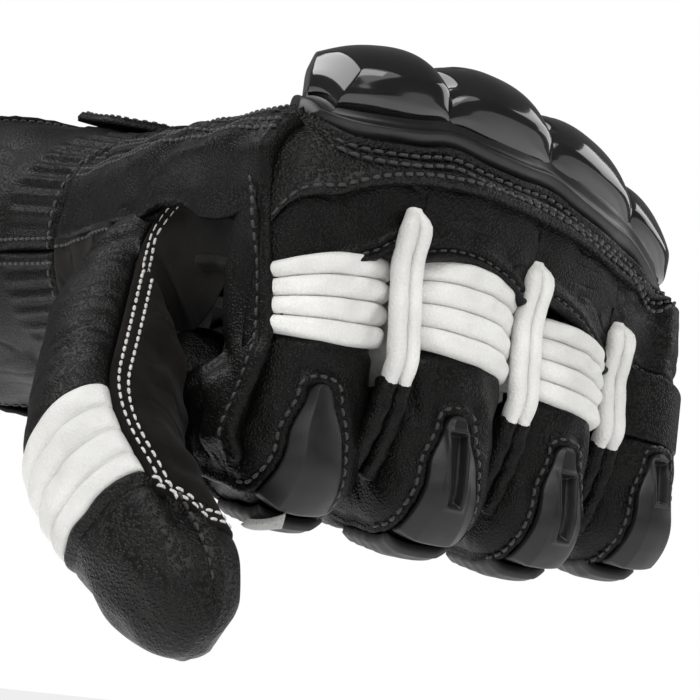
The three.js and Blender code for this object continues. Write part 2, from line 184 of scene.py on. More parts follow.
def knuckle_point(x, t, lift=0.0):
    """Over the knuckles: t runs from the back of the hand (below 0) round and down the fingers' fronts."""
    x, t, lift = grids(x, t, lift)
    y0 = knuckle_y(x)
    yb = y0 - np.minimum(t, 0)
    radius = np.maximum(3, back_height(x, y0))
    turn = np.clip(t / radius, 0, FLEX[0])
    on = np.maximum(t - radius * FLEX[0], 0)
    r = radius + lift
    front_y = y0 - r * np.sin(turn) - on * np.cos(turn)
    front_z = arch(x, y0) + r * np.cos(turn) - on * np.sin(turn)
    rear_z = back_height(x, yb) + arch(x, yb) + lift
    return np.stack([x, np.where(t < 0, yb, front_y), np.where(t < 0, rear_z, front_z)], -1)


class Bone:
    """s runs along a bone from its joint; angle 0 is its back and 90 degrees is towards +X."""

    def __init__(self, origin, along, back, length, sizes):
        self.o, self.d, self.n, self.x = origin, along, back, np.array([1.0, 0, 0])
        self.length, self.sizes = length, sizes

    def local(self, x, s, h):
        x, s, h = (q[..., None] for q in grids(x, s, h))
        return self.o + x * self.x + s * self.d + h * self.n

    def size(self, s):
        t = np.clip(np.asarray(s, float) / self.length, 0, 1)
        (a0, b0), (a1, b1) = self.sizes
        return a0 + (a1 - a0) * t, b0 + (b1 - b0) * t

    def point(self, s, angle, lift=0.0):
        a, b = self.size(s)
        x, h = section(a + lift, b + lift, FINGER_POWER, angle)
        return self.local(x, s, h)


def finger_bones(name):
    f = FINGERS[name]
    thick = 12.4 * math.sqrt(f["half"] / 13)
    side = f["half"] - 0.3
    sizes = (
        ((side, thick), (side - 0.6, thick - 0.8)),
        ((side - 1.1, thick - 1.3), (side - 1.9, thick - 2)),
        ((side - 2.2, thick - 2.4), (side - 3, thick - 3.2)),
    )
    origin, angle, out = np.array([f["x"], f["y"], f["z"]], float), 0.0, []
    for flex, length, size in zip(FLEX, f["bones"], sizes):
        angle += flex
        along = np.array([0, -math.cos(angle), -math.sin(angle)])
        back = np.array([0, -math.sin(angle), math.cos(angle)])
        out.append(Bone(origin, along, back, length, size))
        origin = origin + length * along
    return out


BONES = {name: finger_bones(name) for name in FINGERS}


def round_joint(first, second, bend):
    """Surface across a bent joint: t is 0 where the first bone ends, and turns through bend on the back."""
    radius = first.sizes[1][1]
    arc = radius * bend

    def point(t, angle, lift=0.0):
        t, angle, lift = grids(t, angle, lift)
        s = first.length + np.minimum(t, 0)
        on = np.maximum(t - arc, 0)
        share = smooth(0, 1, np.clip(t / arc, 0, 1))
        a, b = (q1 + (q2 - q1) * share for q1, q2 in zip(first.size(s), second.size(on)))
        x, h = section(a + lift, b + lift, FINGER_POWER, angle)
        turn = (np.clip(t, 0, arc) / radius)[..., None]
        n = first.n * np.cos(turn) + first.d * np.sin(turn)
        base = first.o + s[..., None] * first.d + on[..., None] * second.d
        return base + x[..., None] * first.x + h[..., None] * n

    return point, arc


def middle_joint(name):
    return round_joint(*BONES[name][:2], FLEX[1])


def thumb_limb():
    """Surface along the thumb's three bones, rounded at its joints, and the distances of the bones' ends."""
    knuckle, bend, tip = THUMB[1:]
    hinge = unit(np.cross(bend - knuckle, tip - bend))
    units = [unit(b - a) for a, b in zip(THUMB, THUMB[1:])]
    lengths = [np.linalg.norm(b - a) for a, b in zip(THUMB, THUMB[1:])]
    lengths[2] += THUMB_EXTRA
    ends = np.concatenate([[0], np.cumsum(lengths)])
    s = np.linspace(0, ends[-1], 400)
    position, direction = [], []
    for q in s:
        k = min(2, int(np.searchsorted(ends, q, side="right")) - 1)
        p, d = THUMB[k] + units[k] * (q - ends[k]), units[k]
        for j, half in ((1, 10.0), (2, 9.0)):  # each joint is rounded over this distance either side
            if abs(q - ends[j]) < half:
                u = (q - ends[j] + half) / (2 * half)
                a, b = THUMB[j] - units[j - 1] * half, THUMB[j] + units[j] * half
                p = (1 - u) ** 2 * a + 2 * u * (1 - u) * THUMB[j] + u * u * b
                d = unit((1 - u) * units[j - 1] + u * units[j])
        position.append(p)
        direction.append(d)
    position, direction = np.array(position), np.array(direction)
    radii = np.interp(s, *zip(*THUMB_RADII))
    back = unit(np.cross(hinge, -direction))
    across = np.cross(-direction, back)

    def point(q, angle, lift=0.0):
        q, angle, lift = grids(q, angle, lift)
        pick = lambda values: np.stack([np.interp(q, s, values[:, i]) for i in range(3)], -1)
        r = np.interp(q, s, radii)
        x, h = section(r + lift, r * THUMB_FLAT + lift, FINGER_POWER, angle)
        out = pick(position) + x[..., None] * pick(across) + h[..., None] * pick(back)
        room = INDEX_SIDE + lift - 0.2  # past this x the thumb is pressed flat against the index finger
        squeezed = np.where(out[..., 0] > room, room + 0.12 * (out[..., 0] - room), out[..., 0])
        out[..., 0] += (squeezed - out[..., 0]) * smooth(ends[1] - 14, ends[1] + 2, q)
        return out

    return point, ends


THUMB_POINT, THUMB_ENDS = thumb_limb()


# ---------- smooth noise and creases, the same at every run ----------
WAVE_COUNT = 9


def waves(p, size, seed, stretch=(1, 1, 1)):
    """Sum of plane waves in random directions, about -1 to 1, with features of the given size."""
    rng = np.random.default_rng(seed)
    q = np.asarray(p, float) / (size * np.array(stretch, float))
    total = 0
    for _ in range(WAVE_COUNT):
        direction = rng.normal(size=3)
        direction *= (0.7 + 0.9 * rng.random()) / np.linalg.norm(direction)
        total = total + np.sin(q @ direction * 6.28 + rng.random() * 6.28)
    return total / 3.2


def creases(p, size, seed, depth, width=0.16, stretch=(1, 1, 1)):
    """Fine folded lines where a smooth noise crosses zero, fading in and out."""
    line = bell(waves(p, size, seed, stretch), 0, width)
    return -0.55 * depth * line * smooth(-0.5, 0.6, waves(p, size * 2.3, seed + 50))


# ---------- materials ----------
class Nodes:
    """A node material under construction."""

    def __init__(self, name):
        self.material = bpy.data.materials.new(name)
        self.material.use_nodes = True
        self.tree = self.material.node_tree
        self.shader = self.tree.nodes["Principled BSDF"]
        self.place = self.add("Attribute", {}, attribute_name="rest_mm").outputs["Vector"]
        self.relief = self.add("Attribute", {}, attribute_name="relief").outputs["Fac"]

    def put(self, socket, value):
        if isinstance(value, bpy.types.NodeSocket):
            self.tree.links.new(value, socket)
        else:
            socket.default_value = value

    def add(self, kind, inputs, **settings):
        """New node. Each input is a constant or another node's output."""
        node = self.tree.nodes.new("ShaderNode" + kind)
        for key, value in settings.items():
            setattr(node, key, value)
        for key, value in inputs.items():
            self.put(node.inputs[key], value)
        return node

    def noise(self, size, detail=2.0, rough=0.5, stretch=None):
        place = self.place
        if stretch:
            place = self.add("VectorMath", {0: place, 1: stretch}, operation="MULTIPLY").outputs[0]
        inputs = {"Scale": 1 / size, "Detail": detail, "Roughness": rough, "Vector": place}
        return self.add("TexNoise", inputs).outputs["Fac"]

    def cells(self, size, bend):
        """Distance to the nearest of many points, in cells bent by a noise."""
        wobble = self.add("TexNoise", {"Scale": 0.8 / size, "Vector": self.place}).outputs["Color"]
        shift = self.add("VectorMath", {0: wobble, 1: (bend * size,) * 3, 2: self.place}, operation="MULTIPLY_ADD")
        return self.add("TexVoronoi", {"Scale": 1 / size, "Vector": shift.outputs[0]}).outputs["Distance"]

    def spread(self, value, low, high, to_low, to_high):
        inputs = {"Value": value, "From Min": low, "From Max": high, "To Min": to_low, "To Max": to_high}
        return self.add("MapRange", inputs, interpolation_type="SMOOTHSTEP").outputs["Result"]

    def math(self, operation, a, b):
        return self.add("Math", {0: a, 1: b}, operation=operation).outputs[0]

    def mix(self, factor, a, b):
        a, b = ((*value, 1) if isinstance(value, tuple) else value for value in (a, b))
        return self.add("Mix", {"Factor": factor, 6: a, 7: b}, data_type="RGBA").outputs[2]

    def bump(self, height, depth_mm, strength=1.0):
        node = self.add("Bump", {"Strength": strength, "Distance": depth_mm * MM, "Height": height})
        self.put(self.shader.inputs["Normal"], node.outputs["Normal"])

    def finish(self, colour, roughness, **plain):
        for key, value in {"Base_Color": colour, "Roughness": roughness, **plain}.items():
            self.put(self.shader.inputs[key.replace("_", " ")], value)
        return self.material


def shade(rgb, k):
    return tuple(min(1.0, c * k) for c in rgb)


def leather(name, rgb, roughness, cell, depth, worn=1.6, painted_hollow_shade=0.45, fine=0.25, specular=0.5):
    """Pebbled grain; raised places are worn lighter, and painted shade darkens the grain's hollows and the relief's
    depths.
    """
    n = Nodes(name)
    pebbles = n.spread(n.cells(cell, 0.5), 0.12, 0.62, 1.0, 0.0)
    height = n.math("ADD", n.math("MULTIPLY", pebbles, 0.75), n.math("MULTIPLY", n.noise(fine, 3), 0.35))
    n.bump(n.math("ADD", height, n.math("MULTIPLY", n.noise(cell * 4.5), 0.3)), depth, 0.9)
    tone = n.mix(n.spread(n.noise(14.0), 0.3, 0.7, 0.0, 1.0), shade(rgb, 0.86), shade(rgb, 1.14))
    # painted shade: the hollows between the grain's pebbles are darkened
    tone = n.mix(n.spread(pebbles, 0.0, 0.5, 0.3, 0.0), tone, shade(rgb, painted_hollow_shade))
    wear = n.math("MULTIPLY", n.spread(n.relief, 0.8, 2.4, 0.0, 0.4), n.spread(n.noise(1.2, 3), 0.35, 0.75, 0.0, 1.0))
    tone = n.mix(wear, tone, shade(rgb, worn))
    # painted shade: darker where the relief is below zero, in creases, grooves, rolled-down edges and on the inner
    # side
    tone = n.mix(n.spread(n.relief, -1.0, -0.15, 0.55, 0.0), tone, shade(rgb, painted_hollow_shade))
    rough = n.spread(n.noise(5.0), 0.25, 0.75, roughness - 0.03, roughness + 0.04)
    rough = n.math("ADD", rough, n.math("MULTIPLY", pebbles, -0.05))
    return n.finish(tone, rough, Specular_IOR_Level=specular)


def moulded(name, rgb, roughness, depth=0.02, coat=0.0, scuffs=0.1, specular=0.5):
    n = Nodes(name)
    n.bump(n.math("ADD", n.noise(0.35), n.math("MULTIPLY", n.noise(5.0), 0.6)), depth, 0.7)
    tone = n.mix(n.spread(n.noise(7.0, 3), 0.3, 0.7, 0.0, 1.0), shade(rgb, 0.85), shade(rgb, 1.2))
    wear = n.spread(n.noise(1.6, 5, 0.7, (1, 0.35, 0.6)), 0.62, 0.75, 0.0, 0.35)
    rough = n.spread(n.noise(3.0, 4), 0.3, 0.7, roughness, roughness * 1.25)
    return n.finish(n.mix(wear, tone, shade(rgb, 2.0)), n.math("ADD", rough, n.math("MULTIPLY", wear, scuffs)),
                    Specular_IOR_Level=specular, Coat_Weight=coat, Coat_Roughness=0.04)


def nap(name, rgb, size=0.5, depth=0.16):
    n = Nodes(name)
    fibres = n.noise(size, 5, 0.75, (1, 1, 0.5))
    n.bump(fibres, depth, 0.9)
    tone = n.mix(n.spread(n.noise(6.0, 3), 0.35, 0.65, 0.0, 1.0), shade(rgb, 0.7), shade(rgb, 1.4))
    tone = n.mix(n.spread(fibres, 0.5, 0.72, 0.0, 0.6), tone, shade(rgb, 2.1))
    return n.finish(tone, n.spread(fibres, 0.3, 0.7, 0.82, 0.96), Specular_IOR_Level=0.08, Sheen_Weight=0.04,
                    Sheen_Roughness=0.5)


def yarn(name, rgb, roughness=0.6, pitch=0.35):
    n = Nodes(name)
    twist = n.noise(pitch, 2, 0.5, (1.5, 0.6, 1.2))
    n.bump(twist, 0.08, 0.8)
    tone = n.mix(n.spread(twist, 0.35, 0.65, 0.0, 1.0), shade(rgb, 0.6), rgb)
    return n.finish(tone, n.spread(twist, 0.3, 0.7, roughness - 0.1, roughness + 0.12), Sheen_Weight=0.15)


def hooks(name, rgb):
    n = Nodes(name)
    dots = n.cells(0.8, 0.1)
    n.bump(n.spread(dots, 0.1, 0.5, 1.0, 0.0), 0.4)
    tone = n.mix(n.spread(dots, 0.1, 0.5, 0.0, 1.0), shade(rgb, 1.8), shade(rgb, 0.5))
    return n.finish(tone, n.spread(dots, 0.1, 0.6, 0.5, 0.9))


BLACK = leather("black_leather", (0.0045, 0.0041, 0.0038), 0.4, 0.5, 0.16, specular=0.13)
PEBBLE = leather("pebbled_leather", (0.005, 0.0046, 0.0042), 0.36, 0.62, 0.26, specular=0.2)
CALM = leather("calm_leather", (0.005, 0.0046, 0.0042), 0.5, 0.6, 0.07, specular=0.15)
WHITE = leather("white_leather", (0.68, 0.675, 0.65), 0.52, 0.55, 0.07, worn=1.0, painted_hollow_shade=0.86, fine=0.3)
SUEDE = nap("suede", (0.0055, 0.0045, 0.004))
SHELL = moulded("gloss_shell", (0.008, 0.008, 0.009), 0.1, 0.006, coat=0.45, scuffs=0.05)
RUBBER = moulded("satin_rubber", (0.009, 0.009, 0.0095), 0.33, 0.02, specular=0.4)
SLIDER = moulded("matte_slider", (0.0075, 0.0075, 0.008), 0.4, 0.03, specular=0.35)
GREY = moulded("grey_moulding", (0.02, 0.02, 0.021), 0.5, 0.05, specular=0.35)
FOAM = nap("foam", (0.05, 0.05, 0.05), 0.3, 0.1)
LINING = yarn("knitted_lining", (0.03, 0.03, 0.033), 0.85, 0.6)
HOOK = hooks("hook_tape", (0.02, 0.02, 0.02))
THREAD = {"black": yarn("black_thread", (0.02, 0.02, 0.02)), "white": yarn("white_thread", (0.72, 0.71, 0.68))}
TAG = yarn("woven_tag", (0.35, 0.35, 0.34), 0.7, 0.25)
SLOTS = {material.name: slot for slot, group in {
    "black_leather": (BLACK, PEBBLE, CALM), "white_leather": (WHITE,), "palm_suede": (SUEDE,),
    "gloss_shell": (SHELL,), "soft_frame": (RUBBER,), "moulded_slider": (SLIDER, GREY), "foam": (FOAM,),
    "lining": (LINING,), "hook_tape": (HOOK,)}.items() for material in group}


# ---------- what the pieces move with ----------
class Rig:
    """What a piece moves with: one body. A rig across a joint keeps two bodies and the ends of a blend, but its
    pieces are only fixed in place.
    """

    def __init__(self, body, to=None, start=None, end=None):
        self.body, self.to, self.start, self.end = body, to, start, end

    def hold(self, o):
        if self.to is None:
            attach(o, self.body)
        else:
            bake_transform(o)


ROOT_BEHIND, ROOT_AHEAD = 3, 20  # how far each side of a joint a rig's ends lie; nothing reads these ends, and no leather bends with the joint
PIP_REACH, DIP_REACH, THUMB_ROOT_REACH, THUMB_BEND_REACH = 8, 6, 12, 10


def rigs():
    """Every rig by name: each body, and each joint that a piece bends across."""
    out = {body: Rig(body) for body in frame["bodies"]}
    for name, (one, two, three) in BONES.items():
        across, over = unit(one.d + two.d) * PIP_REACH, unit(two.d + three.d) * DIP_REACH
        out[name + "_root"] = Rig("hand", f"{name}_proximal", one.o - one.d * ROOT_BEHIND, one.o + one.d * ROOT_AHEAD)
        out[name + "_pip"] = Rig(f"{name}_proximal", f"{name}_middle", two.o - across, two.o + across)
        out[name + "_dip"] = Rig(f"{name}_middle", f"{name}_end", three.o - over, three.o + over)
    root, knuckle, bend, tip = THUMB
    first, middle, last = unit(knuckle - root), unit(bend - knuckle), unit(tip - bend)
    out["thumb_root"] = Rig("hand", "thumb_proximal", knuckle - first * THUMB_ROOT_REACH,
                            knuckle + middle * THUMB_ROOT_REACH)
    out["thumb_bend"] = Rig("thumb_proximal", "thumb_end", bend - middle * THUMB_BEND_REACH,
                            bend + last * THUMB_BEND_REACH)
    return out


RIG = rigs()
THREADS = {}  # what is sewn, by rig and colour, until lay_threads makes it


# ---------- meshes ----------
def add_object(name, data):
    o = bpy.data.objects.new(name, data)
    bpy.context.scene.collection.objects.link(o)
    return o


def new_object(name, v, quads, tris, material, relief=0.0):
    """Object of quads and triangles; its materials read rest_mm and relief."""
    v = np.asarray(v, float)
    mesh = bpy.data.meshes.new(name)
    mesh.vertices.add(len(v))
    mesh.vertices.foreach_set("co", world(v).astype(np.float32).ravel())
    quads, tris = np.asarray(quads, int).reshape(-1, 4), np.asarray(tris, int).reshape(-1, 3)
    loops = np.concatenate([quads.ravel(), tris.ravel()])
    starts = np.concatenate([np.arange(len(quads)) * 4, len(quads) * 4 + np.arange(len(tris)) * 3])
    mesh.loops.add(len(loops))
    mesh.loops.foreach_set("vertex_index", loops.astype(np.int32))
    mesh.polygons.add(len(starts))
    mesh.polygons.foreach_set("loop_start", starts.astype(np.int32))
    mesh.update(calc_edges=True)
    mesh.validate()
    shell = bmesh.new()
    shell.from_mesh(mesh)
    bmesh.ops.recalc_face_normals(shell, faces=shell.faces)
    shell.to_mesh(mesh)
    shell.free()
    mesh.polygons.foreach_set("use_smooth", np.ones(len(mesh.polygons), bool))
    store = mesh.attributes.new("rest_mm", "FLOAT_VECTOR", "POINT")
    store.data.foreach_set("vector", v.astype(np.float32).ravel())
    store = mesh.attributes.new("relief", "FLOAT", "POINT")
    store.data.foreach_set("value", (np.zeros(len(v)) + relief).astype(np.float32))
    mesh.materials.append(material)
    return add_object(name, mesh)


def grid_quads(index):
    return np.stack([index[:-1, :-1], index[:-1, 1:], index[1:, 1:], index[1:, :-1]], -1).reshape(-1, 4)


def fan(ring, centre):
    return np.stack([ring[:-1], ring[1:], np.full(len(ring) - 1, centre)], -1)


def finish_piece(o, rig, replaces, slot):
    if replaces:
        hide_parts(*replaces.split())
    slot = slot or SLOTS.get(o.data.materials[0].name)
    RIG[rig].hold(o)


THREAD_RINGS = (  # place along a thread, then its radius and sinking, as shares of its length and radius
    (-0.5, 0.45, 0.9), (-0.34, 0.95, 0.15), (0, 1.05, 0), (0.34, 0.95, 0.15), (0.5, 0.45, 0.9))


def stitch(points, normals, rig, colour="black", length=1.5, pitch=2.1, radius=0.3):
    """Threads lying along a line of points on a surface, sunk at both ends."""
    gaps = np.linalg.norm(np.diff(points, axis=0), axis=1)
    run = np.concatenate([[0], np.cumsum(gaps)])
    centres = np.arange(pitch / 2, run[-1] - pitch / 2, pitch)
    if not len(centres):
        return
    pick = lambda values, q: np.stack([np.interp(q, run, values[:, i]) for i in range(3)], -1)
    a, b = pick(points, centres - length / 2), pick(points, centres + length / 2)
    n, t = unit(pick(normals, centres)), unit(b - a)
    side = np.cross(t, n)
    turn = np.arange(6)[None, :, None] * tau / 6
    rings = []
    for along, r, sink in THREAD_RINGS:
        spokes = (side[:, None] * np.cos(turn) + n[:, None] * np.sin(turn)) * r * radius
        rings.append(((a + b) / 2)[:, None] + t[:, None] * along * length + spokes - n[:, None] * sink * radius)
    k, j = np.meshgrid(np.arange(4), np.arange(6), indexing="ij")
    over = (j + 1) % 6
    quad = np.stack([k * 6 + j, k * 6 + over, (k + 1) * 6 + over, (k + 1) * 6 + j], -1).reshape(-1, 4)
    caps = np.array([[0, 5, 4, 3], [0, 3, 2, 1], [24, 25, 26, 27], [24, 27, 28, 29]])
    base = np.arange(len(centres))[:, None, None] * 30
    quads = (base + np.concatenate([quad, caps])[None]).reshape(-1, 4)
    THREADS.setdefault((rig, colour), []).append((np.stack(rings, 1).reshape(-1, 3), quads))


def rows(edges, *offsets, colour="black"):
    """Rows of thread at each offset from each of the named edges."""
    return tuple((edge, offset, colour) for edge in edges.split() for offset in offsets)


ROW_POINTS, THREAD_LIFT = 160, 0.12


def line_stitch(at, c, height, side, offset, colour, rig):
    """One row of thread at offset from the named edge."""
    steps = np.linspace(0, 1, ROW_POINTS)
    order = 1 if side[1] == "0" else -1
    gaps, share = (c.edges[side], c.v[0]) if side[0] == "v" else (c.edges[side].T, c.u[:, 0])
    place = np.array([np.interp(offset, gap[::order], share[::order]) for gap in gaps])
    if side[0] == "v":
        uu, vv = steps, np.interp(steps, c.u[:, 0], place)
    else:
        uu, vv = np.interp(steps, c.v[0], place), steps
    # the relief under the row, smoothed over seven steps
    fu = np.clip(uu, 0, 1) * (c.u.shape[0] - 1)
    fv = np.clip(vv / c.v[0, -1], 0, 1) * (c.u.shape[1] - 1)
    h = height[np.round(fu).astype(int), np.round(fv).astype(int)]
    h = np.convolve(np.pad(h, 3, mode="edge"), np.ones(7) / 7, "valid")
    points = at(uu, vv, h + THREAD_LIFT)
    stitch(points, at(uu, vv, h + 1 + THREAD_LIFT) - points, rig, colour)


def skin(name, surface, us, vs, shape, relief, material=BLACK, rig="hand", wrap=False, pole=False, thick=1.8,
         roll=(1.4, 0.9), closed="", replaces="", slot=None, topstitch=(), fill=None):
    """Leather piece over surface(u, v, lift). us and vs are its ranges, numbers or functions of the other share,
    and shape its cell counts. wrap joins the v edges and pole closes the end of u to a point.
    relief(c) sees the shares c.u and c.v, surface values c.q_u and c.q_v, points c.p and distances in c.edges.
    roll turns the free edges down; closed names edges that stay flat; topstitch rows follow edges."""
    n, m = shape
    U, V = np.meshgrid(np.linspace(0, 1, n + 1), np.linspace(0, 1, m + 1)[: m if wrap else m + 1], indexing="ij")

    def value(span, cross, q):
        low, high = (end(cross) if callable(end) else end for end in span)
        return low + (high - low) * q

    def at(uu, vv, lift):
        return surface(value(us, vv, uu), value(vs, uu, vv), lift)

    def runs(points, axis):
        steps = np.linalg.norm(np.diff(points, axis=axis), axis=-1)
        return np.concatenate([np.take(steps, [0], axis) * 0, np.cumsum(steps, axis)], axis)

    flat = at(U, V, np.zeros_like(U))
    along = runs(flat, 0)
    whole = runs(np.concatenate([flat, flat[:, :1]], 1) if wrap else flat, 1)
    across = whole[:, : U.shape[1]]
    c = SimpleNamespace(u=U, v=V, p=flat, q_u=value(us, V, U), q_v=value(vs, U, V),
                        edges={"u0": along, "u1": along[-1] - along, "v0": across, "v1": whole[:, -1:] - across})
    flat_edges = closed + (" v0 v1" if wrap else "") + (" u1" if pole else "")
    c.edge = np.minimum.reduce([np.full(U.shape, 99.0)] + [d for k, d in c.edges.items() if k not in flat_edges])
    width, depth = roll
    height = relief(c) * np.ones_like(U)
    sink = depth * (1 - np.sqrt(1 - np.clip(1 - c.edge / width, 0, 1) ** 2))
    outer = at(U, V, height - sink)
    inner = at(U, V, np.full(U.shape, -thick) if wrap or pole else np.minimum(-thick, height - depth - 0.2))
    count = U.size
    index = np.arange(count).reshape(U.shape)
    if wrap:
        index = np.concatenate([index, index[:, :1]], 1)
    top = grid_quads(index)
    rims = [index[0]] + ([] if pole else [index[-1][::-1]]) + ([] if wrap else [index[::-1, 0], index[:, -1]])
    rims = [np.stack([line[:-1], line[:-1] + count, line[1:] + count, line[1:]], -1) for line in rims]
    verts = np.concatenate([outer.reshape(-1, 3), inner.reshape(-1, 3)])
    # relief at each vertex: the outer side's height, and -1 on the inner side, which the leather material darkens
    # with painted shade
    tone = np.concatenate([(height - sink).ravel(), np.full(count, -1.0)])
    tris = []
    if pole:
        verts = np.concatenate([verts, outer[-1].mean(0)[None], inner[-1].mean(0)[None]])
        tone = np.concatenate([tone, [0, -1]])
        tris = np.concatenate([fan(index[-1], 2 * count), fan((index[-1] + count)[::-1], 2 * count + 1)])
    o = new_object(name, verts, np.concatenate([top, top[:, ::-1] + count] + rims), tris, material, tone)
    for side, offset, colour in topstitch:
        line_stitch(at, c, height, side, offset, colour, rig)
    finish_piece(o, rig, replaces, slot)


def tube(name, path, radius, relief, material, rig, sides, flat=1.0):
    """Closed padded tube along a path, with a radius at each point; flat stretches it away from the surface."""
    t = unit(np.gradient(path, axis=0))
    side = unit(np.cross(t, np.array([0, -1.0, 0])))
    up = np.cross(side, t)
    steps = np.array([0.0, 0.25, 0.6, 0.9])  # rings of the rounded ends
    caps = np.maximum(np.sqrt(1 - (1 - steps) ** 2), 0.05)
    reach = 0.6 * (1 - steps)[:, None]  # the ends are flatter than half a ball
    path = np.concatenate([path[0] - t[0] * radius[0] * reach, path, path[-1] + t[-1] * radius[-1] * reach[::-1]])
    r = np.concatenate([radius[0] * caps, radius, radius[-1] * caps[::-1]])
    side, up = (np.concatenate([[q[0]] * 4, q, [q[-1]] * 4])[:, None] for q in (side, up))
    turn = np.arange(sides) * tau / sides
    bump = relief(np.linspace(0, 1, len(path))[:, None], turn[None])
    rr = (r[:, None] + bump * np.minimum(1, r / r.max())[:, None])[..., None]
    turn = turn[None, :, None]
    v = path[:, None] + side * np.cos(turn) * rr + up * np.sin(turn) * rr * flat
    count = len(path) * sides
    index = np.arange(count).reshape(len(path), sides)
    index = np.concatenate([index, index[:, :1]], 1)
    verts = np.concatenate([v.reshape(-1, 3), path[:1], path[-1:]])
    tris = np.concatenate([fan(index[0], count), fan(index[-1][::-1], count + 1)])
    finish_piece(new_object(name, verts, grid_quads(index), tris, material), rig, "", None)


def lay_threads():
    for (rig, colour), parts in THREADS.items():
        verts, quads, base = [], [], 0
        for v, q in parts:
            verts.append(v)
            quads.append(q + base)
            base += len(v)
        o = new_object(f"stitching_{rig}_{colour}", np.concatenate(verts), np.concatenate(quads), (), THREAD[colour])
        RIG[rig].hold(o)


# ---------- hand ----------
def along_hand(v, angles, distance):
    """y at distance from the knuckle line, for a share v of the angles."""
    return knuckle_y(hand_point(0, angles[0] + (angles[1] - angles[0]) * v)[..., 0]) + distance


def hand_skin(name, start, stop, degrees, shape, relief, material=BLACK, **more):
    """Skin round the hand from start, a y or ("knuckle", distance behind the knuckle line), to y stop."""
    angles = tuple(radians(a) for a in degrees)
    first = (lambda v: along_hand(v, angles, start[1])) if isinstance(start, tuple) else start
    skin(name, hand_point, (first, stop), angles, shape, relief, material, **more)


def build_hand():
    def back(c):
        y = c.p[..., 1]
        ribs = np.abs(np.sin(np.clip((y - 56) / 4.6, 0, 5) * pi)) * 1.3
        middle = smooth(-27, -20, c.p[..., 0]) * smooth(45, 38, c.p[..., 0])
        folds = 0.35 * waves(c.p, 17, 3) + creases(c.p, 12, 4, 0.45, 0.14, (2.2, 1, 1))
        return 1.2 * smooth(60, 6, y) + ribs * middle + folds

    hand_skin("back_of_hand", ("knuckle", -1.0), WRIST_Y, (-58, 62), (90, 90), back,
              replaces="back_leather", topstitch=rows("v0 v1", 2.4) + rows("v0 v1", 4.4))

    def radial(c):
        y = c.p[..., 1]
        puff = 2.0 * smooth(58, 12, y) * smooth(0, 0.45, c.v)
        fold = 0.6 * np.sin((c.v * 1.2 + y / 34) * 7.5) * smooth(55, 30, y) * smooth(-8, 6, y)
        return puff + fold + 0.35 * waves(c.p, 13, 7) + creases(c.p, 8, 8, 0.6, 0.14, (1, 2.0, 1.4))

    def hem(u):
        y = -5.1 + 93.1 * u
        return np.radians(-93 + 2.6 * smooth(15, 26, y) * smooth(40, 32, y) + 1.5 * smooth(9, 0, y))

    limits = (radians(-93), radians(-57))
    skin("radial_side", hand_point, (lambda v: along_hand(v, limits, -8.0), WRIST_Y), (hem, limits[1]), (100, 60),
         radial, replaces="inner_side_leather", topstitch=rows("v1", 2.2, 3.8))

    def ulnar(c):
        puff = 2.2 * np.sin(np.clip(c.v, 0, 1) * pi) * smooth(60, 10, c.p[..., 1])
        return puff + 0.4 * waves(c.p, 13, 11) + creases(c.p, 10, 12, 0.6, 0.15, (1, 2, 1))

    hand_skin("outer_side", ("knuckle", 0.5), WRIST_Y, (61, 107), (90, 50), ulnar,
              replaces="outer_side_leather", topstitch=rows("v0 v1", 2.2))

    def palm(c):
        hollow = -1.2 * bell(c.v, 0.5, 0.25) * smooth(10, 40, c.p[..., 1]) * smooth(84, 60, c.p[..., 1])
        return hollow + 0.5 * waves(c.p, 15, 15) + creases(c.p, 13, 16, 0.8, 0.13, (2.0, 1, 1))

    outer, inner = radians(106), radians(255)
    skin("palm", hand_point, (lambda v: along_hand(v, (outer, inner), 14.0) + 16 * smooth(0.65, 1.0, v), WRIST_Y),
         (outer, lambda u: radians(234) + radians(35) * smooth(0.08, 0.4, u)), (80, 110), palm, SUEDE,
         replaces="palm_leather", topstitch=rows("v0 v1", 2.2))
    hand_skin("palm_overlay", ("knuckle", 42.0), 80, (132, 198), (40, 60), lambda c: 1.9 + 0.4 * waves(c.p, 15, 15),
              SUEDE, replaces="palm_patch", thick=-0.3, roll=(1.2, 1.2), topstitch=rows("u0 u1 v0 v1", 2.2, 3.9))
    hand_skin("palm_root", ("knuckle", 3.0), 20.5, (112, 248), (30, 100),
              lambda c: 0.3 * waves(c.p, 12, 19) + creases(c.p, 10, 20, 0.7, 0.15, (2.4, 1, 1)), SUEDE, closed="u0")


# ---------- knuckle guard ----------
SHELL_INSET, SHELL_REAR, SHELL_FRONT = 3.4, 4.0, 3.6  # how far the hard shell stays inside the soft frame's rim


def front_line(x):
    """t of the guard's front rim: it dips between the domes."""
    wave = sum(bell(x, (a + b) / 2, 5.5) for a, b in ((-12.8, -11.8), (11.4, 12.4), (36.8, 37.8)))
    return 15.2 + 0.035 * (x + 24) + 1.2 * (1 - 0.9 * wave)


def guard_t(x, q):
    """t at a share q of the way from the guard's rear rim to its front rim."""
    across = np.clip((2 * x - GUARD_LEFT - GUARD_RIGHT) / (GUARD_RIGHT - GUARD_LEFT), -1, 1)
    ends = np.sqrt(np.maximum(0, 1 - np.abs(across) ** 7))
    reach = np.maximum(np.clip((-9 - x) / 27, 0, 1), np.clip((x - 43) / 17, 0, 1)) ** 1.45
    rear = 3 + (GUARD_REAR - 3) * (1 - reach)
    front = 4 + (front_line(x) - 4) * ends
    return rear + (front - rear) * q


def dome_field(x, t):
    """Height of the domes: each swells from its inner side and falls sharply at its outer side."""
    height = np.zeros_like(x)
    for k, (centre, half, tall) in enumerate(DOMES):
        q = (x - centre) / half
        lean = np.where(q > 0, np.abs(q) ** 3.4, np.abs(q) ** (2.6 if k == 0 else 2.0))
        v = (t - 1.5) / np.where(t > 1.5, 12.2, 25.0)
        inside = np.clip(1 - lean, 0, 1) ** 0.6 * np.clip(1 - np.abs(v) ** 2.4, 0, 1) ** 0.7
        height = np.maximum(height, inside * tall)
    return height


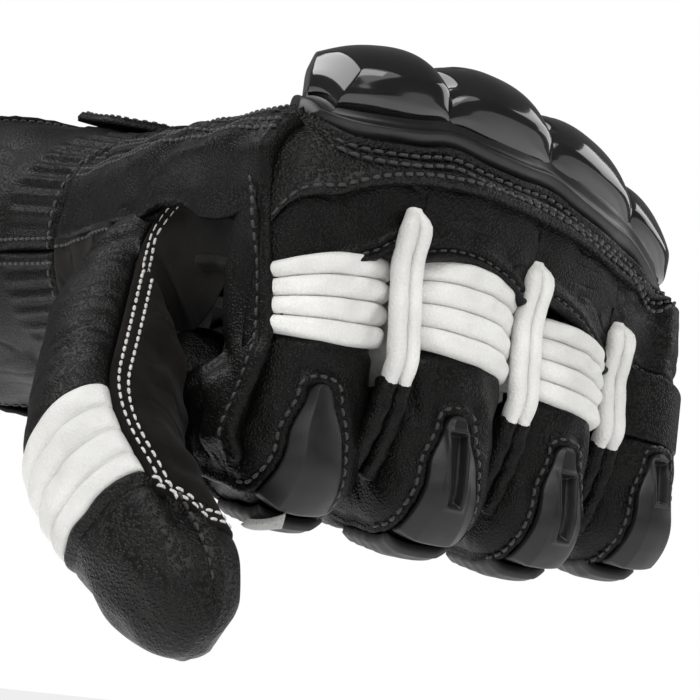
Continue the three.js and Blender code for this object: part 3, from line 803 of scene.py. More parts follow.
def slit_field(x, t):
    """Two narrow recesses beside each dome but the first."""
    dip = np.zeros_like(x)
    for centre, half, _ in DOMES[1:]:
        dip += 2.4 * bell(x, centre - half * 0.93 + 0.05 * (t + 4), 0.95, 4) * smooth(-14, -9, t) * smooth(9, 5, t)
        dip += 0.9 * bell(x, centre - half * 0.52 + 0.12 * (t + 1), 0.9, 4) * bell(t, -1, 4.2, 4)
    return dip


def build_guard():
    span = (GUARD_LEFT + 0.05, GUARD_RIGHT - 0.05)

    def flange(c):
        x, t = c.q_v, guard_t(c.q_v, c.u)
        m = np.minimum.reduce([x - GUARD_LEFT, GUARD_RIGHT - x, t - guard_t(x, 0.0), guard_t(x, 1.0) - t])
        return 0.5 + (2.5 * smooth(0.0, 1.0, m) - 0.9 * smooth(1.3, 2.2, m) + 1.6 * smooth(2.8, 4.6, m))

    skin("guard_flange", lambda q, x, lift: knuckle_point(x, guard_t(x, q), lift), (0, 1), span, (110, 200), flange,
         RUBBER, thick=-0.2, roll=(0.6, 0.4), replaces="knuckle_frame")

    def shell_ends(x):
        return guard_t(x, 0.0) + SHELL_REAR, guard_t(x, 1.0) - SHELL_FRONT

    def shell_place(q, x, lift):
        rear, front = shell_ends(x)
        return knuckle_point(x, rear + (front - rear) * q, lift)

    def shell(c):
        x = c.q_v
        rear, front = shell_ends(x)
        t = rear + (front - rear) * c.u
        side = np.minimum(x - span[0], span[1] - x) - SHELL_INSET
        rim = smooth(0, 2.4, np.minimum.reduce([t - rear, front - t, side]))
        return 2.9 + 2.2 * rim + dome_field(x, t) - slit_field(x, t) * rim

    skin("guard_domes", shell_place, (0, 1), (span[0] + SHELL_INSET, span[1] - SHELL_INSET), (170, 330), shell,
         SHELL, thick=-1.0, roll=(0.7, 0.9), replaces="knuckle_shell")
    skin("guard_foam", shell_place, (0.12, 0.88), (span[0] + 8, span[1] - 8), (20, 50),
         lambda c: 2.2 + 0.5 * dome_field(c.q_v, guard_t(c.q_v, c.u)), FOAM, thick=-0.6,
         replaces="knuckle_padding", fill=0.9)


# ---------- leather in front of the guard ----------
KNUCKLE_LEFT, KNUCKLE_RIGHT = -41.6, 62.9


def front_point(x, t, lift=0.0):
    """Surface of the knuckle leather and bands, which runs out onto the little finger's own front and side."""
    f, bone = FINGERS["little"], BONES["little"][0]
    x, t, lift = grids(x, t, lift)
    angle = angle_at(np.clip((x - f["x"]) / f["half"], -1, 1))
    own = bone.point(t - KNUCKLE_ARC, angle, lift - 1.2 * smooth(32, 20, t))
    share = smooth(43, 57, x) * smooth(12, 20, t)
    hand = knuckle_point(x, t, lift)
    return hand + (own - hand) * share[..., None]


def seam_t(x):
    """t of the stitched seam between the hand's knuckle leather and the fingers' bands."""
    return 22.8 - 5.0 * smooth(-32, -42, x) - 5.5 * smooth(34, 60, x)


def leather_point(t, x, lift):
    """The same surface where its leather swells at the index finger's side and sinks below the seam."""
    fade = smooth(22.0, 34.0, t)
    valleys = sum(bell(x, q, 3.4) for q in (-16.1, 11.0, 36.2))
    return front_point(x, t, lift + (0.9 * smooth(-30, -38, x) - 1.3 * fade - (0.3 + 0.6 * fade) * valleys))


def build_knuckle_skin():
    def relief(c):
        d, e = c.q_u - guard_t(c.q_v, 1.0), c.q_u - seam_t(c.q_v)
        rim = bell(d, 0.9, 0.65) - 0.5 * bell(d, 2.1, 0.45) - 0.35 * bell(d, 3.7, 0.45)
        pull = creases(c.p, 7, 23, 0.35, 0.2, (3.0, 1, 1)) * smooth(-6, -1, e)
        return 0.7 + rim + 0.7 * smooth(-4.4, -2.0, e) + pull + 0.15 * waves(c.p, 9, 21)

    width = KNUCKLE_RIGHT - KNUCKLE_LEFT
    skin("knuckle_leather_front", leather_point, (-4, lambda v: seam_t(KNUCKLE_LEFT + width * v)),
         (KNUCKLE_LEFT, KNUCKLE_RIGHT), (110, 260), relief, PEBBLE, roll=(1.1, 1.1), closed="u0",
         replaces="knuckle_band", topstitch=rows("u1", 1.7))
    x = np.linspace(GUARD_LEFT + 0.5, 58.6, 240)
    for offset, lift in ((2.1, 1.0), (3.7, 1.25)):
        t = guard_t(np.maximum(x, GUARD_LEFT + 2), 1.0) + offset
        points = front_point(x, t, lift)
        stitch(points, front_point(x, t, lift + 1) - points, "hand", "black", 1.7, 2.3, 0.33)


# ---------- fingers ----------
RIBS = {  # s of the ribbed panel's top and bottom edges, as value, slope and curve across the finger
    "index": ((12.5, -2.0, 1.2), (27.9, -0.4, -1.0)),
    "middle": ((11.0, 1.2, 1.9), (27.6, 1.6, 0.2)),
    "ring": ((12.6, 2.2, 1.6), (27.4, 2.0, 0.2)),
    "little": ((10.5, 1.6, 2.2), (23.0, 1.2, 0.2)),
}
RIB_COUNT = 4
FRONT = radians(66)  # the ribbed panel's half-angle
BAND_X = {"index": (-41.6, -16.0), "middle": (-16.0, 10.95), "ring": (10.95, 36.25), "little": (36.25, 64.2)}
SLIDER_X = {"index": -2.4, "middle": -0.9, "ring": 1.4, "little": 2.4}
SLIDER_TOP = -10.5  # t of the hem's top above the slider
SLOT_T = {"middle": (-8.0, 3.6), "ring": (-6.0, 4.6), "little": (-9.5, -2.0)}  # the sliders' slots


def rib_edge(name, which, u):
    a, b, c = RIBS[name][which]
    return a + b * u + c * u * u


def rib_share(angle):
    return np.clip(np.sin(angle) / math.sin(FRONT), -1, 1)


def rib_round(u):
    """Rounded height of the ribs, from 0 to 1, at a share of the panel."""
    q = np.where(u >= 1, 1.0, (u * RIB_COUNT) % 1.0)
    return np.clip(1 - np.abs(2 * q - 1) ** 2.4, 0, 1) ** 0.55


def build_band(name):
    """Black leather between the hand's seam and the ribs."""
    f = FINGERS[name]
    low, high = BAND_X[name][0] - 0.04, BAND_X[name][1] + 0.04

    def bottom(v):
        u = np.clip((low + (high - low) * v - f["x"]) / (f["half"] * 0.85), -1, 1)
        return KNUCKLE_ARC + rib_edge(name, 0, u) + 0.6 - (1.4 * smooth(0.4, 0.75, u) if name == "index" else 0)

    def relief(c):
        left = bottom(c.v) - c.q_u
        piping = (0.9 * bell(left, 0.9, 0.7) + 0.5 * bell(left, 2.9, 0.8)) * (0.4 if name == "little" else 1.0)
        tucks = creases(c.p, 5.0, 31 + len(name), 0.5, 0.22, (3.5, 1, 0.8))
        return 0.15 * waves(c.p, 8, 33) + piping - 0.4 * bell(left, 1.9, 0.35) + tucks - 0.4

    closed = "u0" + (" v0" if name != "index" else "") + (" v1" if name != "little" else "")
    skin(f"{name}_band", leather_point, (lambda v: seam_t(low + (high - low) * v) - 1.6, bottom), (low, high),
         (56, 60), relief, BLACK, f"{name}_root", closed=closed, roll=(0.9, 0.7), topstitch=rows("u1", 1.9))


def build_ribs(name):
    bone = BONES[name][0]
    white = name != "little"

    def surface(q, angle, lift):
        top, bottom = (rib_edge(name, which, rib_share(angle)) for which in (0, 1))
        return bone.point(top + (bottom - top) * q, angle, lift)

    def relief(c):
        if not white:
            return 0.1
        swell = 0.85 + 0.15 * waves(c.p, 6, 41)
        pulled = creases(c.p, 2.6, 43, 0.12, 0.3, (0.5, 1, 2.5)) * (1 - rib_round(c.u))
        return 0.1 + 1.6 * rib_round(c.u) * swell + pulled

    left = (lambda u: -FRONT + radians(8) * u) if name == "index" else -FRONT
    skin(f"{name}_ribs", surface, (0, 1), (left, FRONT * 1.05), (RIB_COUNT * 16, 48), relief,
         WHITE if white else BLACK, f"{name}_root", roll=(0.5, 0.5), closed="v0 v1",
         replaces=f"{name}_accordion", fill=0.8)


def slider_half(t, arc):
    """Half-width of the hard slider at t from the joint's station."""
    return 2.1 + 2.3 * smooth(-10, -2, t) + 1.4 * smooth(-2, 10, t) + 1.2 * smooth(9, arc, t)


def build_sleeve(name):
    """Leather over the finger's middle joint, from the ribs to the middle bone, with the slider's stitched bed."""
    one, two, _ = BONES[name]
    point, arc = middle_joint(name)
    shift, width = SLIDER_X[name], one.sizes[1][0]

    def start(v):
        angle = -pi + tau * v
        dorsal = rib_edge(name, 1, rib_share(angle)) - 0.5 - one.length
        front = smooth(math.cos(radians(80)), math.cos(radians(62)), np.cos(angle))
        mitred = one.length - 0.5 - 13.8 * smooth(0.2, 1.0, -np.cos(angle))
        side = np.where(np.cos(angle) < 0, np.minimum(33.0, mitred), 33.0) - one.length
        return dorsal * front + np.minimum(side, -11.5) * (1 - front)

    def stop(v):
        return arc + 12.0 + 3.0 * np.maximum(0, -np.cos(-pi + tau * v))

    def surface(t, angle, lift):
        """On the palm side the two bones meet in a fold, which fills the turn."""
        down = np.clip(-np.cos(angle), 0, 1)
        fold = 14.16 * down**2 * bell(t, arc / 2, arc * 0.42)
        return point(t, angle, lift) + fold[..., None] * unit(two.d - one.d)

    def relief(c):
        angle, t = c.q_v, c.q_u
        off = np.abs(width * signed_power(np.sin(angle), 2 / FINGER_POWER) - shift)
        d = off - slider_half(t, arc)
        top = np.hypot(np.maximum(off - 1.2, 0), SLIDER_TOP + 2.0 - t) - 1.4
        d = np.where(t < -7.5, np.maximum(d, top * 0.5), d)
        front = smooth(0.15, 0.45, np.cos(angle))
        hem = 0.5 * bell(d, 0.95, 0.55) - smooth(0.9, 0.1, d) - 0.45 * bell(d, 1.7, 0.5)
        upper = -0.6 * smooth(1.6, 0.2, t + one.length - rib_edge(name, 1, 0) + 0.5)
        folds = creases(c.p, 8, 51 + len(name), 0.7, 0.18, (1, 1, 1.6)) * (1 - 0.6 * front)
        side = np.sin(np.clip((t + 12) / (arc + 20), 0, 1) * pi) * smooth(0.5, 0.0, np.abs(np.cos(angle)))
        return 0.25 * waves(c.p, 9, 53) + hem * front + folds - side * 0.32 + upper

    skin(f"{name}_sleeve", surface, (start, stop), (-pi, pi), (84, 120), relief, BLACK, f"{name}_pip",
         wrap=True, roll=(0.9, 0.6), replaces=f"{name}_front_leather {name}_knuckle_leather")
    t = np.linspace(SLIDER_TOP, arc * 0.8, 90)
    half = slider_half(t, arc) + 1.7
    crown = np.linspace(pi, 0, 16)
    x = np.concatenate([(shift - half)[::-1], shift + half[0] * np.cos(crown), shift + half])
    t = np.concatenate([t[::-1], SLIDER_TOP - 1.9 * np.sin(crown), t])
    angle = angle_at(np.clip(x, -width * 0.985, width * 0.985) / width)
    points = point(t, angle, 0.05)
    stitch(points, point(t, angle, 1.05) - points, f"{name}_pip", "black", 1.4, 2.0)


def build_slider(name):
    point, arc = middle_joint(name)
    shift, width = SLIDER_X[name], BONES[name][0].sizes[1][0]
    top, crown = -11.3, 2.6

    def surface(t, u, lift):
        half = slider_half(t, arc) + 0.35
        nose = np.sqrt(np.clip(1 - ((t - (top + crown)) / crown) ** 2, 0.02, 1))
        half = np.where(t < top + crown, half * nose, half)
        return point(t, angle_at(np.clip(shift + u * half, -width * 0.97, width * 0.97) / width), lift)

    def relief(c):
        t, u = c.q_u, c.q_v
        rise = 1.0 + 0.9 * smooth(-10, 4, t)
        if name == "index":  # a ridge to one side
            ridge = -0.45
            roof = rise - 1.3 * np.clip(ridge - u, 0, 1) / 0.55 - 0.5 * np.clip(u - ridge, 0, 2) ** 2
        else:  # a flat with a slot
            low, high = SLOT_T[name]
            dx = np.abs(u * slider_half(t, arc)) - (1.35 - 0.035 * (t - low))
            gap = np.maximum(dx, np.maximum(low - t, t - high))
            roof = rise - 1.1 * np.clip(np.abs(u) - 0.5, 0, 1) / 0.5
            roof = roof - 1.7 * smooth(0.25, -0.25, gap) + 0.3 * bell(gap, 0.45, 0.35)
        return 0.2 + (roof - 0.2) * smooth(-0.02, 0.05, c.u) * smooth(1.0, 0.9, c.u)

    skin(f"{name}_hard_slider", surface, (top, arc * 0.62), (-1, 1), (110, 60), relief, SLIDER, f"{name}_pip",
         thick=0.4, roll=(0.35, 0.8), replaces=f"{name}_slider")


def build_facet(name):
    """Moulded patch on the back of the middle bone, below the knuckle."""
    one, two, _ = BONES[name]
    point, arc = middle_joint(name)

    def surface(t, u, lift):
        x = u * (two.sizes[0][0] * 0.62) * (1 - 0.25 * smooth(arc, arc + 12, t))
        return point(t, angle_at(x / one.sizes[1][0]), lift)

    def relief(c):
        steps = 0.35 * np.abs(((c.u * 5) % 1) - 0.5)
        return 1.5 - 0.9 * np.clip(np.abs(c.q_v) - 0.55, 0, 1) / 0.45 + steps

    skin(f"{name}_lower_slider", surface, (arc * 0.72, arc + 10), (-1, 1), (40, 26), relief, GREY,
         f"{name}_middle", thick=0.4, roll=(0.7, 0.9))


def build_end(name):
    """Leather of the middle bone's far part and the fingertip."""
    _, two, three = BONES[name]
    point, arc = round_joint(two, three, FLEX[2])
    tip, dome = arc + three.length, three.length * 0.6

    def surface(t, angle, lift):
        base = point(np.minimum(t, tip), angle, lift)
        past = np.clip((t - (tip - dome)) / dome, 0, 1)
        axis = three.o + (np.minimum(t - arc, three.length)[..., None]) * three.d
        close = np.sqrt(np.clip(1 - past**2, 0, 1))[..., None]
        fold = bell(t, arc / 2, arc * 0.5) * np.clip(-np.cos(angle), 0, 1) * 5.0
        shaped = np.where((t > tip - dome)[..., None], axis + (base - axis) * close, base)
        return shaped + fold[..., None] * unit(three.d - two.d)

    def first(v):
        return -two.length + 10.5 + 2.5 * np.maximum(0, -np.cos(-pi + tau * v))

    def relief(c):
        seam = -0.5 * bell(np.abs(np.degrees(c.q_v)), 92, 5.0) * smooth(0.3, 0.5, c.u)
        return 0.3 * waves(c.p, 8, 61) + creases(c.p, 7, 62 + len(name), 0.5, 0.17, (1.5, 1, 1)) + seam

    skin(f"{name}_end_leather", surface, (first, tip - 0.25), (-pi, pi), (70, 72), relief, BLACK,
         f"{name}_dip", wrap=True, pole=True, roll=(0.9, 0.6), replaces=f"{name}_middle_leather {name}_tip")


def piping_angle(s):
    """Degrees round the index finger of the seam between its front and its side panel."""
    return -75.0 + 0.53 * np.minimum(s, 29.0) - 8 * smooth(7, -3, s) - 20 * smooth(29, 46, s)


def build_radial_panel():
    """The index finger's large side panel, from the hand's hem to the piping."""
    one = BONES["index"][0]

    def surface(s, angle, lift):
        share = (np.degrees(angle) + 123) / 66
        return one.point(s, np.radians(-123 + (123 + piping_angle(s)) * share), lift)

    def relief(c):
        s, v = c.q_u, c.v
        big = 0.8 * waves(c.p, 16, 71, (1, 1, 1.6)) + 0.3 * waves(c.p, 7, 72, (1, 1.0, 1.8))
        over = 1.5 * smooth(27, 33, s) - 2.6 * smooth(one.length - 2.0, one.length + 3.0, s)
        tuck = 1.8 * bell(s, 34 + 6 * v, 2.6) - 1.4 * bell(s, 29 + 6 * v, 2.2)
        return (0.7 + big * smooth(0.0, 0.25, v) * smooth(1.02, 0.8, v) + bell(c.edges["v1"], 1.6, 1.0) + over
                + tuck * smooth(0.75, 0.35, v) + creases(c.p, 8, 73, 0.8, 0.14, (1, 1, 1.5)))

    skin("index_inner_side", surface, (-1.0, one.length + 3.0), (radians(-123), radians(-57)), (80, 44),
         relief, BLACK, "index_root", closed="u0 u1", roll=(1.2, 1.0), replaces="index_inner_wall",
         topstitch=rows("v1", 1.6))


def build_walls(name):
    """The finger's two sides and its palm side, between the hand and the middle joint."""
    one = BONES[name][0]
    for side, low, high in (("outer", 57, 123), ("inner", -123, -57)):
        if name == "index" and side == "inner":
            build_radial_panel()
            continue
        outermost = name == "little" and side == "outer"

        def relief(c):
            s = c.q_u
            tucked = 1.2 * smooth(27, 32, s) + 1.6 * smooth(10, 0, s)
            if outermost:
                notch = 1.8 * smooth(0.22, 0.0, c.v) * smooth(14, 8, s) + 1.7 * bell(s, 12.5, 3.0)
                tucked = tucked + 2.2 * smooth(2, -7, s) + notch
            return -0.4 + 0.25 * waves(c.p, 9, 74) + creases(c.p, 8, 75 + len(name), 0.4, 0.16) - tucked

        skin(f"{name}_{side}_side", one.point, (-7.0 if outermost else 9.0, one.length - 12.0),
             (radians(48 if outermost else low), radians(high)), (80, 44) if outermost else (36, 24),
             relief, BLACK if name == "little" else WHITE, f"{name}_root", closed="u0 u1", roll=(1.2, 1.0),
             replaces=f"{name}_{side}_wall")
    skin(f"{name}_palm_side", one.point, (6.0, lambda v: one.length - 9.0 - 6.0 * np.sin(v * pi)),
         (radians(121), radians(239)), (40, 40),
         lambda c: 0.3 * waves(c.p, 8, 81) + creases(c.p, 7, 82 + len(name), 0.6, 0.17, (2, 1, 1)),
         SUEDE, f"{name}_root", roll=(1.0, 0.8), replaces=f"{name}_palm_leather", slot="black_leather")


LOOPS = (  # between two fingers: x at the top and bottom, then s of the top and bottom
    ("index", "middle", -19.0, -17.3, 5.2, 33.4),
    ("middle", "ring", 11.9, 12.7, 4.2, 31.4),
    ("ring", "little", 38.4, 40.2, 4.0, 25.6),
)


def build_loops():
    """Padded piping that folds over at the top, one strand to each of two neighbouring fingers, above dark folds."""
    for left, right, x_top, x_bottom, top, bottom in LOOPS:
        bone = BONES[right][0]
        for name, hand, sign in ((left, "left", -1), (right, "right", 1)):
            s = np.linspace(top, bottom, 46)
            q = (s - top) / (bottom - top)
            x = x_top + (x_bottom - x_top) * q - bone.o[0] + sign * (1.32 * smooth(-0.02, 0.10, q) + 0.1)
            h = 15.6 - 2.4 * smooth(6, 15, s) - 1.6 * smooth(0.85, 1.0, q) - 1.2 * smooth(0.1, 0.0, q)
            radius = 1.5 * (0.72 + 0.28 * smooth(0, 0.12, q)) * (1 - 0.12 * smooth(0.9, 1, q))
            tube(f"{left}_{right}_strand_{hand}", bone.local(x, s, h), radius,
                 lambda u, a: 0.04 * np.sin(u * 37 + np.sin(a * 2 + u * 9) * 1.3), WHITE, f"{name}_root", 16, 1.25)
            tail = np.linspace(0, 1, 30)
            x = x_bottom - bone.o[0] + sign * (1.5 + 0.5 * tail) - 1.5 * tail
            path = bone.local(x, bottom + tail * 15.0, 11.0 - 5.5 * tail**1.7)
            tube(f"{left}_{right}_fold_{hand}", path, 1.75 - 0.35 * tail, lambda u, a: 0.12 * np.sin(u * 31 + a * 2),
                 BLACK, f"{name}_proximal", 14, 1.15)


def build_piping():
    """Piping down the index finger's side, on the edge of its side panel."""
    one = BONES["index"][0]
    s = np.linspace(-2.0, one.length + 2.0, 60)
    lift = 1.1 + 1.5 * smooth(27, 33, s) - 2.2 * smooth(one.length - 2, one.length + 2, s)
    tube("index_side_piping", one.point(s, np.radians(piping_angle(s)), lift), 1.15 + 0 * s,
         lambda u, a: 0.06 * np.sin(u * 90) + 0 * a, BLACK, "index_root", 14)


def build_tag():
    """Small blank woven tag at the foot of the index finger's side."""
    point, _ = middle_joint("index")
    skin("index_blank_tag",
         lambda q, v, lift: point(16.5 - 6.0 * q + 3.4 * v, np.radians(-31 + 15 * q + 7.5 * v), lift + 2.2),
         (0, 1), (0, 1), (12, 8), lambda c: 0.4 + 0.1 * np.sin(c.u * 6), TAG, "index_middle", thick=0.2,
         roll=(0.3, 0.2))


# ---------- thumb ----------
WEB_TOP, WEB_FOOT = 12.0, 57.0  # distances along the thumb between which the web draws its seam to the hand
SEWN = (1.5, 3.3)  # the white rows' distances from the thumb's seam
PALM_EDGE = 229  # degrees round the thumb where its suede ends


def border(q):
    """Angle in degrees of the double stitched seam along the thumb."""
    return np.interp(q, (0, 56, 66, 78, 89, 97, 104, 111, 115), (68, 67, 67, 70, 73, 69, 65, 70, 74))


def web_pull(q):
    """How far the seam stands off the thumb's own surface towards the side of the hand."""
    t = np.clip((WEB_FOOT - np.asarray(q, float)) / (WEB_FOOT - WEB_TOP), 0, 1)[..., None]
    own = THUMB_POINT(np.clip(q, WEB_TOP, WEB_FOOT), np.radians(border(q)), 0.0)
    foot, ahead = (THUMB_POINT(WEB_FOOT + k, radians(border(WEB_FOOT)), 0.0) for k in (0, 5))
    side = hand_point(26.0, radians(-88), -2.4)
    bend = foot + (foot - ahead) * 4
    return (1 - t) ** 2 * foot + 2 * t * (1 - t) * bend + t**2 * side - own


def sewn_grooves(c):
    return sum(-0.35 * bell(c.edges["v0"], offset, 0.4) for offset in SEWN)


def by_share(low, high):
    """Surface over a share across the thumb, between two angles in degrees that may change along it."""
    def point(q, v, lift):
        a, b = (end(q) if callable(end) else end for end in (low, high))
        degrees = a + (b - a) * v
        pulled = smooth(-25, 71, degrees) * smooth(180, 71, degrees)
        return THUMB_POINT(q, np.radians(degrees), lift) + web_pull(q) * pulled[..., None]
    return point


def build_thumb():
    def wrinkled(c):
        q = c.q_u
        side = smooth(0.45, 0.8, c.v) * smooth(1.0, 0.94, c.v)
        path = q + 13 * (1 - c.v) + 1.2 * waves(c.p, 9, 94)
        pulled = 0.55 * np.abs(np.sin(path * 0.62)) ** 1.5 * side * smooth(28, 45, q) * smooth(90, 84, q)
        return 0.6 + 0.25 * waves(c.p, 16, 93) + pulled + creases(c.p, 6.5, 91, 0.35, 0.16, (2.2, 1, 0.8))

    skin("thumb_base_skin", by_share(-132, lambda q: border(q) - 0.5), (6, 91.2), (0, 1), (120, 130), wrinkled,
         BLACK, "thumb_root", roll=(1.0, 0.9), closed="u0 v0", replaces="thumb_base_leather thumb_back_leather")

    def ribs(c):
        end = smooth(0.0, 0.06, c.v) * smooth(1.0, 0.95, c.v)
        return 0.1 + 1.35 * rib_round(c.u) * (0.3 + 0.7 * end) + 0.12 * waves(c.p, 6, 95)

    skin("thumb_ribs", by_share(-84, lambda q: border(q) - 1.0), (90.4, 107.4), (0, 1), (RIB_COUNT * 16, 70), ribs,
         WHITE, "thumb_bend", roll=(0.5, 0.5), replaces="thumb_accordion", fill=0.8)
    skin("thumb_outer_side", by_share(-134, -82), (88.5, 109.5), (0, 1), (40, 36),
         lambda c: -0.3 + 0.3 * waves(c.p, 8, 96) + creases(c.p, 6, 97, 0.5, 0.18), BLACK, "thumb_bend",
         roll=(0.8, 0.8))

    def palm(c):
        calm = smooth(3, 8, c.edges["v0"]) * smooth(57, 64, c.q_u)
        return 0.5 + sewn_grooves(c) + (0.5 * waves(c.p, 10, 101) + creases(c.p, 9, 102, 0.5, 0.15)) * calm

    for part, low, high, rig, closed, sewn, replaces in (
        ("thumb_palm_base", lambda v: 56.7 - 40 * smooth(0.25, 0.6, v), 68, "thumb_root", "u0 u1 v1", "v0", ""),
        ("thumb_palm_suede", 66.5, lambda v: 112.8 + 6.2 * smooth(0, 0.22, v), "thumb_bend", "u0 v1", "v0 u1",
         "thumb_palm_panel"),
    ):
        skin(part, by_share(border, PALM_EDGE), (low, high), (0, 1), (90, 90), palm, SUEDE, rig, roll=(0.9, 0.7),
             closed=closed, replaces=replaces, topstitch=rows(sewn, *SEWN, colour="white"))
    build_thumb_tip()


def build_thumb_tip():
    length, dome, seam = THUMB_ENDS[-1], 19.0, radians(84.5)

    def tip(q, angle, lift):
        past = np.clip((q - (length - dome)) / dome, 0, 1)
        base = THUMB_POINT(np.minimum(q, length), angle, lift)
        axis = THUMB_POINT(np.minimum(q, length), angle * 0, -THUMB_RADII[-1][1] * THUMB_FLAT)
        return axis + (base - axis) * np.clip((1 - past**2.1) ** 0.5, 0, 1)[..., None]

    def start(v):
        degrees = -180 + 360 * v
        return 106.6 + 6.0 * smooth(64, 80, degrees) + 6.0 * smooth(-122, -134, degrees)

    def relief(c):
        degrees, q, edge = np.degrees(c.q_v), c.q_u, c.edges["u0"]
        ridges = 0.9 * bell(degrees, 93, 4.2) - 0.4 * bell(degrees, 84.5, 2.0)
        other = 0.9 * bell(degrees, -93, 4.2) * smooth(110, 118, q)
        top = 0.5 * bell(edge, 1.4, 0.7) - 0.3 * bell(edge, 3.0, 0.5)
        under = -smooth(120.0, 118.5, q) * np.maximum(smooth(60, 72, degrees), smooth(-120, -132, degrees))
        seams = 0.3 + ridges * smooth(112, 118, q) + other + top + under
        return seams + 0.25 * waves(c.p, 9, 111) + creases(c.p, 9, 112, 0.3, 0.15)

    skin("thumb_tip_leather", tip, (start, length - 0.3), (-pi, pi), (110, 120), relief, PEBBLE,
         "thumb_end", wrap=True, pole=True, roll=(0.9, 0.9), replaces="thumb_tip")
    q, seam = grids(np.linspace(112, length - 6, 80), seam)
    points = tip(q, seam, 0.2)
    stitch(points, tip(q, seam, 1.2) - points, "thumb_end")


def build_web():
    """Suede between the thumb's seam and the index finger's side, sinking into the hollow of the hand."""
    near, far = hand_point(-2.0, radians(-96), 0.0), THUMB_POINT(WEB_FOOT + 3, radians(158), 0.0)
    hollow, toward = np.array([7.0, 9.0, -3.0]), np.array([-0.45, -0.78, -0.3])

    def surface(q, v, lift):
        q, v, lift = grids(q, v, lift)
        inner = smooth(0, 0.25, v)
        seam = THUMB_POINT(q, np.radians(border(q)), lift * (1 - inner)) + web_pull(q)
        t = (q - WEB_TOP) / (WEB_FOOT + 3 - WEB_TOP)
        deep = near + (far - near) * t[..., None] + hollow * np.sin(t * pi)[..., None]
        belly = np.sin(v * pi) * (3.5 * smooth(0.1, 0.6, t) * smooth(1.0, 0.7, t))
        p = seam + (deep - seam) * v[..., None] + toward * (belly + lift * inner)[..., None]
        limb = THUMB_POINT(q, np.radians(border(q) + 86 * v), lift) + web_pull(q)
        return p + (limb - p) * smooth(0.5, 0.95, t)[..., None]

    def relief(c):
        soft = 0.3 * waves(c.p, 16, 121) * smooth(57, 50, c.q_u) * smooth(3, 8, c.edges["v0"])
        return 0.5 + sewn_grooves(c) + soft

    skin("thumb_web", surface, (WEB_TOP, WEB_FOOT + 0.3), (0, 1), (80, 80), relief, SUEDE, "thumb_root", thick=1.2,
         roll=(1.0, 0.8), closed="u0 u1 v1", replaces="web_gusset", topstitch=rows("v0", *SEWN, colour="white"))


# ---------- wrist and cuff ----------
def build_cuff():
    def elastic(c):
        y = c.p[..., 1]
        gather = 0.45 * np.sin(c.q_v * 46) * smooth(88, 92, y) * smooth(109, 104, y)
        soft = 0.5 * waves(c.p, 20, 131) * smooth(104, 116, y)
        return 0.1 + gather + soft + creases(c.p, 14, 132, 0.5, 0.13, (1, 1.8, 1))

    for name, degrees, columns, replaces in (
        ("cuff_upper", (-96, 96), 150, "cuff_back"), ("cuff_lower", (96, 264), 130, "cuff_palm"),
    ):
        hand_skin(name, WRIST_Y + 0.3, CUFF_Y, degrees, (80, columns), elastic, replaces=replaces,
                  topstitch=rows("v0 v1", 2.4) + rows("u1", 2.6) + rows("u0", 2.0))
    hand_skin("cuff_inside", 62, CUFF_Y + 0.4, (-180, 180), (24, 96), lambda c: -2.7 + 0.2 * waves(c.p, 9, 133),
              LINING, replaces="cuff_lining", wrap=True, thick=3.6, roll=(0.3, 0.2))

    def rim(q, angle, lift):
        r = 2.5 + lift
        return hand_point(CUFF_Y + 0.2 + r * np.sin(q * pi), angle, -1.4 + r * np.cos(q * pi))

    skin("cuff_edge", rim, (0, 1), (-pi, pi), (14, 150), lambda c: 0.12 * np.sin(c.q_v * 60), CALM,
         wrap=True, thick=1.2, roll=(0.3, 0.2), replaces="cuff_binding")
    for body, y0, y1, end, sewn, lift, thick, tape in (
        ("wrist_strap", 90, 107, 22, 170, 2.6, 1.8, "wrist_hook_tape"),
        ("cuff_flap", 112, 143, -8, 150, 1.6, 2.0, "cuff_hook_tape"),
    ):
        a0, a1 = radians(end), radians(sewn)

        def strap(y, share, up):
            u = (y - y0) / (y1 - y0) * 2 - 1
            nose = 0.16 * (1 - np.sqrt(np.clip(1 - np.abs(u) ** 3.2, 0, 1)))
            return hand_point(y, a0 + (a1 - a0) * (nose + (1 - nose) * share), up)

        skin(body + "_leather", strap, (y0 + 0.2, y1 - 0.2), (0, 1), (26, 120),
             lambda c: lift + thick + 0.2 * waves(c.p, 14, 141) + 0.25 * smooth(3.2, 5, c.edge), BLACK, body,
             thick=-lift, roll=(1.0, 1.1), replaces=body, topstitch=rows("u0 u1 v0 v1", 2.3))
        skin(tape.replace("tape", "pad"), hand_point, (y0 + 2, y1 - 2), (a0 + 0.105, a0 + 0.87), (20, 50),
             lambda c: min(lift - 0.4, 1.3) + 0.1 * waves(c.p, 2, 143), HOOK, thick=-0.3, roll=(0.5, 0.4),
             replaces=tape)


# ---------- camera, floor and light ----------
FRAME_PIXELS, FOCAL_PIXELS, SENSOR = 700, 2700, 36
VIEW_DEGREES = (-36.5, -7, 6.8)  # azimuth, elevation and roll
VIEW_AIM, VIEW_DISTANCE = (-21.7, -5, -28), 0.45


def camera():
    data = bpy.data.cameras.new("camera")
    data.sensor_width = SENSOR
    data.lens = FOCAL_PIXELS / FRAME_PIXELS * SENSOR
    data.clip_start, data.clip_end = 0.01, 20
    o = add_object("camera", data)
    azimuth, elevation, roll = (radians(a) for a in VIEW_DEGREES)
    flat = math.cos(elevation)
    back = Vector((math.sin(azimuth) * flat, -math.cos(azimuth) * flat, math.sin(elevation)))
    right = Vector((math.cos(azimuth), math.sin(azimuth), 0))
    up = back.cross(right)
    rolled_right = right * math.cos(roll) + up * math.sin(roll)
    rolled_up = up * math.cos(roll) - right * math.sin(roll)
    m = Matrix((rolled_right, rolled_up, back)).transposed().to_4x4()
    m.translation = Vector(world(VIEW_AIM)) + back * VIEW_DISTANCE
    o.matrix_world = m
    bpy.context.scene.camera = o


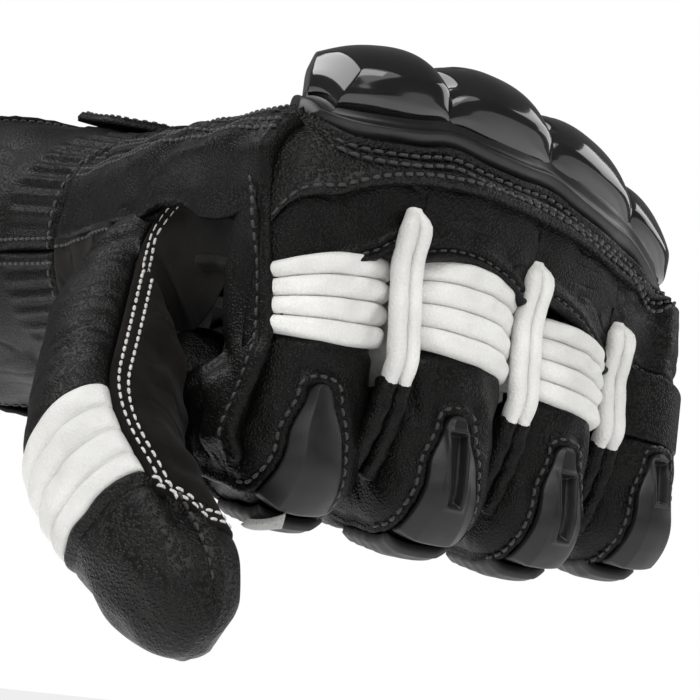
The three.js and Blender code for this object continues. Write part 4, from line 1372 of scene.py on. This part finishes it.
FLOOR_DROP, FLOOR_HALF = 0.16, 8.0  # metres
SKY_LIGHT, SKY_SEEN = 0.12, 1.0
LAMPS = (  # name, place from the glove in metres, size, power
    ("key", (-0.5, -0.6, 0.8), (0.9, 0.6), 6),
    ("back", (-0.5, 0.55, 0.7), (0.9, 0.5), 5),
    ("side", (0.9, -0.1, 0.4), (0.6, 0.6), 2.5),
)


def studio():
    mesh = bpy.data.meshes.new("floor")
    z = CAD_BOX[0][2] - FLOOR_DROP
    c, size = world((0, 0, 0)), FLOOR_HALF
    corners = ((-1, -1), (1, -1), (1, 1), (-1, 1))
    mesh.from_pydata([(c[0] + x * size, c[1] + y * size, z) for x, y in corners], [], [(0, 1, 2, 3)])
    floor = add_object("floor", mesh)
    paint = bpy.data.materials.new("floor")
    paint.use_nodes = True
    for key, value in (("Base Color", (0.93, 0.93, 0.93, 1)), ("Roughness", 0.8),
                       ("Emission Color", (1, 1, 1, 1)), ("Emission Strength", 0.5)):
        paint.node_tree.nodes["Principled BSDF"].inputs[key].default_value = value
    mesh.materials.append(paint)
    sky = bpy.data.worlds.new("studio")
    sky.use_nodes = True
    tree = sky.node_tree
    seen = tree.nodes.new("ShaderNodeLightPath").outputs["Is Camera Ray"]
    strength = tree.nodes.new("ShaderNodeMapRange")
    strength.inputs["To Min"].default_value = SKY_LIGHT
    strength.inputs["To Max"].default_value = SKY_SEEN
    tree.links.new(seen, strength.inputs["Value"])
    tree.links.new(strength.outputs["Result"], tree.nodes["Background"].inputs["Strength"])
    tree.nodes["Background"].inputs["Color"].default_value = (1, 1, 1, 1)
    bpy.context.scene.world = sky
    bpy.context.scene.view_settings.view_transform = "Standard"
    sun = add_object("soft_sun", bpy.data.lights.new("soft_sun", "SUN"))
    sun.data.energy, sun.data.angle = 1.25, radians(60)
    sun.rotation_euler = (radians(38), radians(-22), 0)
    aim = Vector(world((0, 0, -20)))
    for name, offset, size, power in LAMPS:
        data = bpy.data.lights.new(name, "AREA")
        data.shape = "RECTANGLE"
        data.size, data.size_y = size
        data.energy = power
        o = add_object(name, data)
        o.location = aim + Vector(offset)
        o.rotation_euler = (aim - o.location).to_track_quat("-Z", "Y").to_euler()


camera()
build_hand()
build_guard()
build_knuckle_skin()
for finger in FINGERS:
    for build in (build_band, build_ribs, build_sleeve, build_slider, build_facet, build_end, build_walls):
        build(finger)
build_loops()
build_thumb()
build_web()
build_cuff()
build_piping()
build_tag()
lay_threads()
studio()
